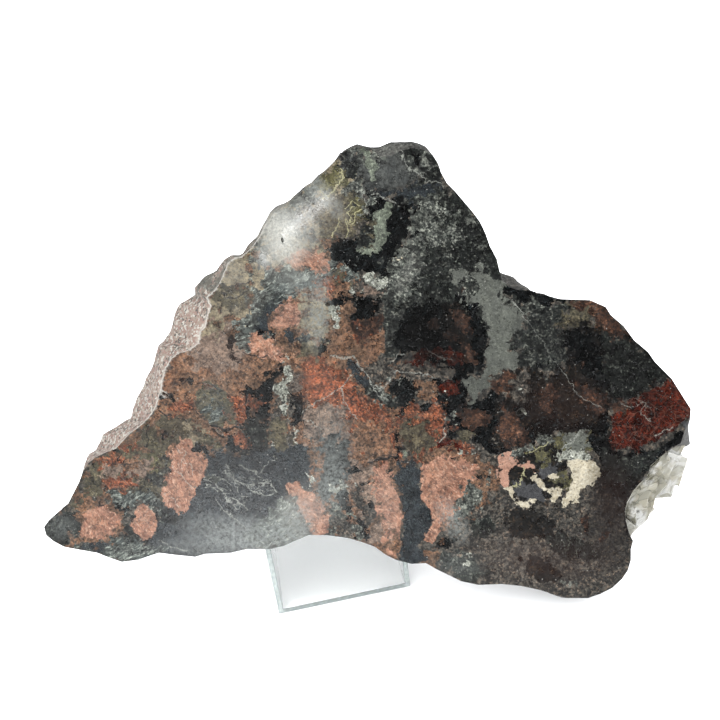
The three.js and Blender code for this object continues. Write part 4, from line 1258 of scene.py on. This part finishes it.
def line_mask(tree, name, waver):
    """Where the stored thin lines show."""
    offset, counts, width = stored(tree, name)
    away = calc(tree, "ABSOLUTE", calc(tree, "ADD", offset, waver))
    inner = product(tree, width, 0.30)
    outer = scaled(tree, width, 0.85, 0.08)
    return product(tree, left_over(tree, ramp(tree, away, inner, outer)), counts)


# Noises that the steps of the pattern share

Noises = namedtuple("Noises", "edges clouds cloud fine fine_grain grit broken shade bent kinds")


def bent_place(group, place):
    """The place, bent by some mm, so that streaks and cracks curve."""
    bent = group.nodes.new("ShaderNodeVectorMath")
    bent.operation = "MULTIPLY_ADD"
    feed(group, bent.inputs[0], noise(group, place, 0.05, 3.0)[1])
    bent.inputs[1].default_value = (20, 20, 20)
    feed(group, bent.inputs[2], place)
    return bent.outputs[0]


def shared_noises(group, place):
    """Ragged borders, clouds, shading and the grains and flecks of each kind of mineral."""
    edges = [scaled(group, part, 11.0, -5.5) for part in three_noises(group, place, 0.30, 6.0, 0.64)]
    edges += [product(group, part, -1.0) for part in edges]
    clouds = three_noises(group, place, 0.17, 5.0, 0.68, 0.4)
    fine = three_noises(group, place, 1.15, 3.0, 0.70)
    coarse = three_noises(group, place, 0.62, 4.0, 0.75)
    wide_shade = scaled(group, noise(group, place, 0.30, 5.0, 0.72)[0], 3.4, -1.7)
    shade = scaled(group, calc(group, "SUBTRACT", fine[2], 0.5), 3.0, wide_shade)
    bent = bent_place(group, place)
    streaks = three_noises(group, in_plane(group, bent, -32, (0.32, 1.5, 0.8)), 0.8, 4.0, 0.7)
    fibres = noise(group, in_plane(group, bent, 52, (0.40, 2.0, 0.9)), 0.95, 3.0, 0.7)[0]
    fine_grain = ramp(group, fine[0], 0.32, 0.68)
    grit = ramp(group, calc(group, "ADD", coarse[0], fine[1]), 0.76, 1.24)
    grit_fleck = ramp(group, calc(group, "ADD", coarse[1], fine[0]), 0.76, 1.24)
    kinds = {
        "grainy": (grit, grit_fleck),
        "streaked": (ramp(group, streaks[0], 0.34, 0.66), ramp(group, streaks[1], 0.34, 0.66)),
        "fibrous": (ramp(group, fibres, 0.34, 0.66), grit_fleck),
        "mottled": (fine_grain, grit_fleck),
        "plain": (fine_grain, ramp(group, fine[1], 0.32, 0.68)),
    }
    cloud = ramp(group, clouds[0], 0.38, 0.62)
    broken = ramp(group, fine[2], 0.36, 0.52)
    return Noises(edges, clouds, cloud, fine, fine_grain, grit, broken, shade, bent, kinds)


# Steps of the pattern

def lay_minerals(group, noises):
    """Shows each mineral where it lies deepest; gives colour and gloss."""
    grain = grain_group()
    border = border_group()
    best, colour, gloss = -100.0, (0, 0, 0, 1), 0.4
    for index, (name, mineral) in enumerate(MINERALS.items()):
        if index % 3 == 0:
            depths = stored(group, f"minerals_{index // 3}")
        depth = depths[index % 3]
        grains, flecks = noises.kinds[mineral.kind]
        body = use_group(group, grain, {
            "Main": paint(mineral.main), "Second": paint(mineral.second),
            "Light": paint(mineral.light), "Dark": paint(mineral.dark),
            "Light Share": mineral.light_share, "Dark Share": mineral.dark_share,
            "Cloudiness": mineral.cloudiness, "Cloud": noises.cloud, "Shade": noises.shade,
            "Grain": grains, "Fleck": flecks, "Depth": depth,
            "Rim": ZONE_STRENGTH if name in ZONED else 0.0,
        })["Color"]
        laid = use_group(group, border, {
            "Best": best, "Depth": depth, "Noise": noises.edges[index % 6],
            "Ragged": mineral.ragged, "Soft": mineral.soft, "Under": colour, "Over": body,
            "Under Gloss": gloss, "Over Gloss": mineral.roughness,
        })
        best, colour, gloss = laid["Best"], laid["Color"], laid["Gloss"]
    return colour, gloss


def draw_lines(group, noises, colour):
    """The thin pale, yellow and dark lines; gives the dark ones too."""
    waver = product(group, noises.edges[0], 0.45)
    pale = product(group, line_mask(group, "pale_lines", waver), noises.broken, 0.64)
    yellow = product(group, line_mask(group, "yellow_lines", waver), 0.8)
    dark = product(group, line_mask(group, "dark_lines", waver), 0.95)
    colour = lay_tint(group, pale, colour, "pale_line")
    colour = lay_tint(group, yellow, colour, "yellow_line")
    return lay_tint(group, dark, colour, "dark_line"), dark


def heal_cracks(group, noises, colour):
    """Garnets are crossed by pale healed cracks."""
    pink, orange, red = stored(group, "minerals_2")
    garnet = ramp(group, highest(group, pink, orange, red), -0.1, 0.6)
    place = in_plane(group, noises.bent, 35, (0.6, 1.0, 1.0))
    cracks = left_over(group, ramp(group, cells(group, place, 0.36, "DISTANCE_TO_EDGE"), 0.0, 0.07))
    strength = scaled(group, ramp(group, red, -0.1, 0.6), -0.08, 0.34)
    share = product(group, cracks, garnet, noises.broken, noises.clouds[1], strength)
    return lay_tint(group, share, colour, "healed_crack")


def darken_seams(group, place, noises, colour):
    """Black seams and specks between the grains of the brown minerals."""
    winding = calc(group, "SUBTRACT", noise(group, place, 0.14, 6.0, 0.60)[0], 0.5)
    seams = left_over(group, ramp(group, calc(group, "ABSOLUTE", winding), 0.003, 0.015))
    seams = product(group, seams, ramp(group, noises.clouds[2], 0.46, 0.56))
    specks = ramp(group, noise(group, place, 0.40, 5.0, 0.66)[0], 0.635, 0.665)
    orange = stored(group, "minerals_2")[1]
    brown = highest(group, orange, *stored(group, "minerals_3"))
    share = product(group, highest(group, seams, specks), 0.82, ramp(group, brown, -0.5, 0.8))
    return lay_tint(group, share, colour, "black_seam")


# Scratches of the polish: direction in degrees and strength

SCRATCHES = ((48, 0.26), (-28, 0.20), (-66, 0.16))


def scratch_polish(group, place, noises, colour):
    """Fine scratches in three directions, strongest on the left."""
    apart = group.nodes.new("ShaderNodeSeparateXYZ")
    group.links.new(place, apart.inputs[0])
    middle = FACE_ORIGIN.dot(STANCE.col[0]) / MM
    left = ramp(group, apart.outputs["X"], middle - 5, middle - 40)
    worn = ramp(group, noises.clouds[2], 0.42, 0.62)
    for degrees, strength in SCRATCHES:
        across = in_plane(group, place, degrees, (0.07, 3.4, 1.0))
        lines = ramp(group, noise(group, across, 0.8, 2.0, 0.6)[0], 0.64, 0.74)
        share = product(group, lines, worn, scaled(group, left, 1.5 * strength, 0.35 * strength))
        colour = lay_tint(group, share, colour, "scratch")
    return colour


def sprinkle_dust(group, place, colour):
    """Scattered grains of pale dust."""
    dots = left_over(group, ramp(group, cells(group, place, 0.42), 0.06, 0.13))
    chosen = ramp(group, channels(group, cells(group, place, 0.42, output="Color"))[0], 0.74, 0.78)
    return lay_tint(group, product(group, dots, chosen, 0.7), colour, "dust")


def shade_tones(group, place, noises, colour):
    """Painted glare, painted shade, warmth and a painted sheen of reflected light."""
    painted_glare_and_shade, warmer, painted_sheen = stored(group, "tone")
    gritty = scaled(group, noises.grit, 0.60, 0.60)
    # Painted highlight where the tone is above 0, painted shade where it is below
    up = calc(group, "MULTIPLY", highest(group, painted_glare_and_shade, 0.0), gritty, clamp=True)
    down = calc(group, "MULTIPLY", highest(group, product(group, painted_glare_and_shade, -1.0), 0.0), 1.1, clamp=True)
    colour = lay_tint(group, up, colour, "glare")
    colour = lay_tint(group, down, colour, "shadow")
    colour = lay_tint(group, highest(group, warmer, 0.0), colour, "warmth")
    colour = lay_tint(group, highest(group, product(group, warmer, -1.0), 0.0), colour, "coolness")
    # The sheen is painted reflected light, broken up into pebbles
    pebbles = ramp(group, noise(group, place, 0.75, 3.0, 0.7)[0], 0.36, 0.62)
    painted_sheen_share = calc(group, "MULTIPLY", painted_sheen, scaled(group, pebbles, 1.50, 0.08), clamp=True)
    return lay_tint(group, painted_sheen_share, colour, "painted_sheen")


def pattern_group():
    """The stone's minerals as colour, roughness and small height."""
    outputs = [("Color", "Color"), ("Roughness", "Float"), ("Height", "Float")]
    group, _, result = new_group("skarn_pattern", [], outputs)
    place = face_millimetres(group)
    noises = shared_noises(group, place)
    colour, gloss = lay_minerals(group, noises)
    colour, dark_lines = draw_lines(group, noises, colour)
    colour = heal_cracks(group, noises, colour)
    colour = darken_seams(group, place, noises, colour)
    colour = scratch_polish(group, place, noises, colour)
    colour = sprinkle_dust(group, place, colour)
    colour = shade_tones(group, place, noises, colour)
    group.links.new(colour, result["Color"])
    wear = scaled(group, noise(group, place, 0.35, 3.0)[0], 0.24, -0.12)
    group.links.new(calc(group, "ADD", gloss, wear, clamp=True), result["Roughness"])
    pits = calc(group, "SUBTRACT", ramp(group, noises.fine[2], 0.28, 0.40), dark_lines)
    group.links.new(scaled(group, noises.fine_grain, 0.25, pits), result["Height"])
    return group


# Materials of the stone

def new_material(name):
    """A material with its tree and shader."""
    material = bpy.data.materials.new(name)
    material.use_nodes = True
    tree = material.node_tree
    return material, tree, tree.nodes["Principled BSDF"]


def bump(tree, height, strength, distance):
    """Raises the surface by a small height, in mm."""
    node = tree.nodes.new("ShaderNodeBump")
    node.inputs["Strength"].default_value = strength
    node.inputs["Distance"].default_value = distance * MM
    feed(tree, node.inputs["Height"], height)
    return node.outputs["Normal"]


def polished_rock(pattern):
    """Satin polish with fine pits and a pale left rim line, partly crushed rock and partly a painted
    highlight.
    """
    material, tree, shader = new_material("polished_skarn")
    stone = use_group(tree, pattern, {})
    # The pale rim line: crushed rock with a painted highlight along the rim
    wear = stored(tree, "wear")[0]
    crushed = ramp(tree, noise(tree, face_millimetres(tree), 1.1, 2.0)[0], 0.25, 0.5)
    edge = product(tree, calc(tree, "POWER", wear, 1.6), crushed)
    feed(tree, shader.inputs["Base Color"], lay_tint(tree, edge, stone["Color"], "rim_bruise_and_glint"))
    feed(tree, shader.inputs["Roughness"], stone["Roughness"])
    feed(tree, shader.inputs["Normal"], bump(tree, stone["Height"], 0.5, 0.16))
    return material


def pale_flank(tree, place, mossy):
    """Colour of the sugary pink flank, with bright grains that are partly painted glints, grey grains and a
    mossy top.
    """
    red, green, blue = channels(tree, cells(tree, place, 1.3, output="Color"))
    colour = lay_tint(tree, ramp(tree, red, 0.35, 0.65), paint(TINTS["flank_pink"]), "flank_rose")
    # Bright grains, partly painted glints of the sparkling flank
    colour = lay_tint(tree, ramp(tree, green, 0.72, 0.80), colour, "flank_grain_and_glint")
    colour = lay_tint(tree, ramp(tree, blue, 0.80, 0.88), colour, "flank_grey")
    moss = product(tree, mossy, ramp(tree, noise(tree, place, 0.2, 3.0)[0], 0.35, 0.55), 0.8)
    return lay_tint(tree, moss, colour, "moss")


def broken_rock(pattern):
    """Matte fractured rock, sugary and pale on the left flank."""
    material, tree, shader = new_material("broken_skarn")
    stone = use_group(tree, pattern, {})
    place = face_millimetres(tree)
    grit = noise(tree, place, 0.9, 4.0, 0.7)[0]
    wear, flank, mossy = stored(tree, "wear")
    dust = scaled(tree, ramp(tree, grit, 0.35, 0.62), 0.30, 0.10)
    colour = lay_tint(tree, dust, stone["Color"], "rock_dust")
    colour = mix(tree, product(tree, flank, 0.86), colour, pale_flank(tree, place, mossy))
    # The pale rim on the flank side: crushed rock with a painted highlight
    colour = lay_tint(tree, product(tree, calc(tree, "POWER", wear, 1.6), 0.8), colour, "flank_rim_bruise_and_glint")
    feed(tree, shader.inputs["Base Color"], colour)
    feed(tree, shader.inputs["Roughness"], scaled(tree, grit, -0.3, 0.95))
    height = scaled(tree, cells(tree, place, 0.55), 0.7, grit)
    feed(tree, shader.inputs["Normal"], bump(tree, height, 0.8, 0.7))
    return material


CLEAVAGE_DEGREES = -38


def milky_crystals():
    """White cleavage blocks with cream and grey-olive depths, painted shade that differs from block to
    block, and painted shadow in the clefts.
    """
    material, tree, shader = new_material("milky_crystals")
    place = face_millimetres(tree)
    cream = ramp(tree, noise(tree, place, 0.11, 3.0, 0.6)[0], 0.42, 0.60)
    olive = ramp(tree, noise(tree, place, 0.16, 4.0, 0.65)[1], 0.53, 0.64)
    colour = lay_tint(tree, cream, paint(TINTS["milk"]), "cream_depth")
    colour = lay_tint(tree, olive, colour, "olive_depth")
    blocks = placed(tree, place, (0.4, 0.2, math.radians(CLEAVAGE_DEGREES)), (0.8, 1.5, 1.0))
    # Each cleavage block gets its own painted shade, as if lit differently
    facet_shade = channels(tree, cells(tree, blocks, 0.30, output="Color"))[0]
    colour = lay_tint(tree, ramp(tree, facet_shade, 0.45, 0.95), colour, "painted_facet_shade")
    # Painted shadow in the clefts between blocks
    cleft_shadows = left_over(tree, ramp(tree, cells(tree, blocks, 0.30, "DISTANCE_TO_EDGE"), 0.02, 0.07))
    broken = ramp(tree, noise(tree, place, 0.22, 2.0)[0], 0.48, 0.58)
    colour = lay_tint(tree, product(tree, cleft_shadows, broken, 0.5), colour, "painted_cleft_shadow")
    flaws = in_plane(tree, place, CLEAVAGE_DEGREES, (0.35, 1.4, 1.0))
    lines = ramp(tree, noise(tree, flaws, 0.7, 3.0, 0.65)[0], 0.58, 0.66)
    colour = lay_tint(tree, product(tree, lines, 0.5), colour, "flaw")
    feed(tree, shader.inputs["Base Color"], colour)
    feed(tree, shader.inputs["Roughness"], scaled(tree, cream, 0.25, 0.28))
    shader.inputs["Subsurface Weight"].default_value = 0.25
    shader.inputs["Subsurface Radius"].default_value = (1.0, 0.95, 0.85)
    shader.inputs["Subsurface Scale"].default_value = 4 * MM
    feed(tree, shader.inputs["Normal"], bump(tree, noise(tree, flaws, 0.5, 3.0)[0], 0.5, 0.8))
    return material


# The clear box: its plastic, and the rounding of its edges and the depth of its sawn front in mm

ACRYLIC_IOR = 1.49
CLEAR, RUBBED = (0.99, 0.998, 0.994, 1), (0.975, 0.988, 0.982, 1)
# Greys of the sawn front, darkened as painted shade of the walls' end faces
FRONT_SHADE_DARK, FRONT_SHADE_LIGHT = (0.13, 0.15, 0.145, 1), (0.24, 0.27, 0.26, 1)
EDGE_ROUNDING = 0.25
FRONT_DEPTH = 0.3


def clear_acrylic():
    """Clear plastic with a faint grey-green tint and fine rubbing."""
    material, tree, shader = new_material("clear_acrylic")
    along = placed(tree, object_millimetres(tree), (0, 0, 0.5), (0.2, 2.0, 1.0))
    rubbed = ramp(tree, noise(tree, along, 0.6, 3.0)[0], 0.45, 0.75)
    feed(tree, shader.inputs["Base Color"], mix(tree, rubbed, CLEAR, RUBBED))
    feed(tree, shader.inputs["Roughness"], scaled(tree, rubbed, 0.05, 0.02))
    shader.inputs["Transmission Weight"].default_value = 1.0
    shader.inputs["IOR"].default_value = ACRYLIC_IOR
    return material


def sawn_front_painted_dark():
    """The same plastic on its sawn front edges: milky and scattering, with dark greys that are painted
    shade for the dark lines its end faces show.
    """
    material, tree, shader = new_material("sawn_front_painted_dark")
    marks = ramp(tree, noise(tree, object_millimetres(tree), 0.7, 4.0, 0.7)[0], 0.35, 0.65)
    # Dark greys painted on the front edges stand in for their shade
    feed(tree, shader.inputs["Base Color"], mix(tree, marks, FRONT_SHADE_DARK, FRONT_SHADE_LIGHT))
    feed(tree, shader.inputs["Roughness"], scaled(tree, marks, 0.2, 0.3))
    shader.inputs["Transmission Weight"].default_value = 0.3
    shader.inputs["IOR"].default_value = ACRYLIC_IOR
    return material


def build_stand():
    """The five-sided box with softened edges."""
    mesh = bmesh.new()
    mesh.from_mesh(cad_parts["stand"].data)
    bmesh.ops.remove_doubles(mesh, verts=mesh.verts, dist=0.01 * MM)
    bmesh.ops.recalc_face_normals(mesh, faces=mesh.faces)
    bmesh.ops.dissolve_limit(mesh, angle_limit=math.radians(1), verts=mesh.verts, edges=mesh.edges)
    corners = [edge for edge in mesh.edges if edge.calc_face_angle(0.0) > math.radians(30)]
    bmesh.ops.bevel(mesh, geom=corners, offset=EDGE_ROUNDING * MM, offset_type="OFFSET", segments=2,
                    profile=0.5, affect="EDGES", material=-1, clamp_overlap=True)
    front = min(vert.co.y for vert in mesh.verts)
    for face in mesh.faces:
        face.material_index = 1 if face.calc_center_median().y < front + FRONT_DEPTH * MM else 0
    data = bpy.data.meshes.new("display_box")
    mesh.to_mesh(data)
    mesh.free()
    box = bpy.data.objects.new("display_box", data)
    bpy.context.scene.collection.objects.link(box)
    return box


# Floor and light: the floor's half width in m and its gap in mm, which keeps it off the box

FLOOR_COOL, FLOOR_WARM = (0.90, 0.905, 0.915, 1), (0.93, 0.93, 0.93, 1)
FLOOR_HALF_WIDTH = 8.0
FLOOR_GAP = 0.2
ROOM_COLOUR = (0.97, 0.985, 1.0, 1)
ROOM_STRENGTH = 3.25
WINDOW_DIRECTION = (-0.4545, -0.4545, 0.766)


def pale_floor():
    """Matte off-white with a faint cloud."""
    material, tree, shader = new_material("pale_floor")
    place = tree.nodes.new("ShaderNodeTexCoord").outputs["Object"]
    cloud = noise(tree, place, 12.0, 3.0)[0]
    feed(tree, shader.inputs["Base Color"], mix(tree, cloud, FLOOR_COOL, FLOOR_WARM))
    shader.inputs["Roughness"].default_value = 0.9
    return material


def build_floor():
    """A wide plain floor just below the stone and the box."""
    mesh = bmesh.new()
    just_below = Matrix.Translation((0, 0, -FLOOR_GAP * MM))
    bmesh.ops.create_grid(mesh, x_segments=1, y_segments=1, size=FLOOR_HALF_WIDTH, matrix=just_below)
    data = bpy.data.meshes.new("floor")
    mesh.to_mesh(data)
    mesh.free()
    data.materials.append(pale_floor())
    floor = bpy.data.objects.new("floor", data)
    bpy.context.scene.collection.objects.link(floor)


def add_sun(name, towards, strength, angle_degrees):
    """Even light from far away; towards points to where it comes from."""
    data = bpy.data.lights.new(name, "SUN")
    data.energy = strength
    data.angle = math.radians(angle_degrees)
    light = bpy.data.objects.new(name, data)
    light.matrix_world = Vector(towards).to_track_quat("Z", "Y").to_matrix().to_4x4()
    light.visible_glossy = False
    bpy.context.scene.collection.objects.link(light)


def add_panel(name, place, target, size, power):
    """A round soft panel at one place, turned to another; both in mm in the face's frame."""
    data = bpy.data.lights.new(name, "AREA")
    data.shape = "DISK"
    data.size = size * MM
    data.energy = power
    light = bpy.data.objects.new(name, data)
    stand = FACE_ORIGIN + STANCE @ (Vector(place) * MM)
    aim = FACE_ORIGIN + STANCE @ (Vector(target) * MM)
    turn = (stand - aim).to_track_quat("Z", "Y").to_matrix()
    light.matrix_world = Matrix.Translation(stand) @ turn.to_4x4()
    light.visible_camera = False
    bpy.context.scene.collection.objects.link(light)
    return light


def light_scene():
    """A bright studio with soft light from the upper left and two reflections on the polish."""
    world = bpy.data.worlds.new("studio")
    world.use_nodes = True
    background = world.node_tree.nodes["Background"]
    background.inputs["Color"].default_value = ROOM_COLOUR
    background.inputs["Strength"].default_value = ROOM_STRENGTH
    world.cycles_visibility.glossy = False
    bpy.context.scene.world = world
    add_sun("window", WINDOW_DIRECTION, strength=1.0, angle_degrees=30)
    glint = add_panel("window_glint", (-230, 450, 540), (-27, 49, 0), size=110, power=2.6)
    gleam = add_panel("low_gleam", (-135, -200, 632), (-40, -60, 0), size=150, power=0.55)
    for panel in (glint, gleam):
        panel.visible_diffuse = False
    fill = add_panel("low_fill", (-40, -330, 260), (-10, -120, -20), size=300, power=2.4)
    fill.visible_glossy = False
    view = bpy.context.scene.view_settings
    view.view_transform = "Standard"
    view.look = "None"
    view.exposure = 0.0
    view.gamma = 1.0


# Putting it together

stone = build_stone()
pattern = pattern_group()
for finish in (polished_rock(pattern), broken_rock(pattern), milky_crystals()):
    stone.data.materials.append(finish)
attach(stone, "root")
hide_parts("skarn")

box = build_stand()
box.data.materials.append(clear_acrylic())
box.data.materials.append(sawn_front_painted_dark())
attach(box, "root")
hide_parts("stand")

build_floor()
light_scene()
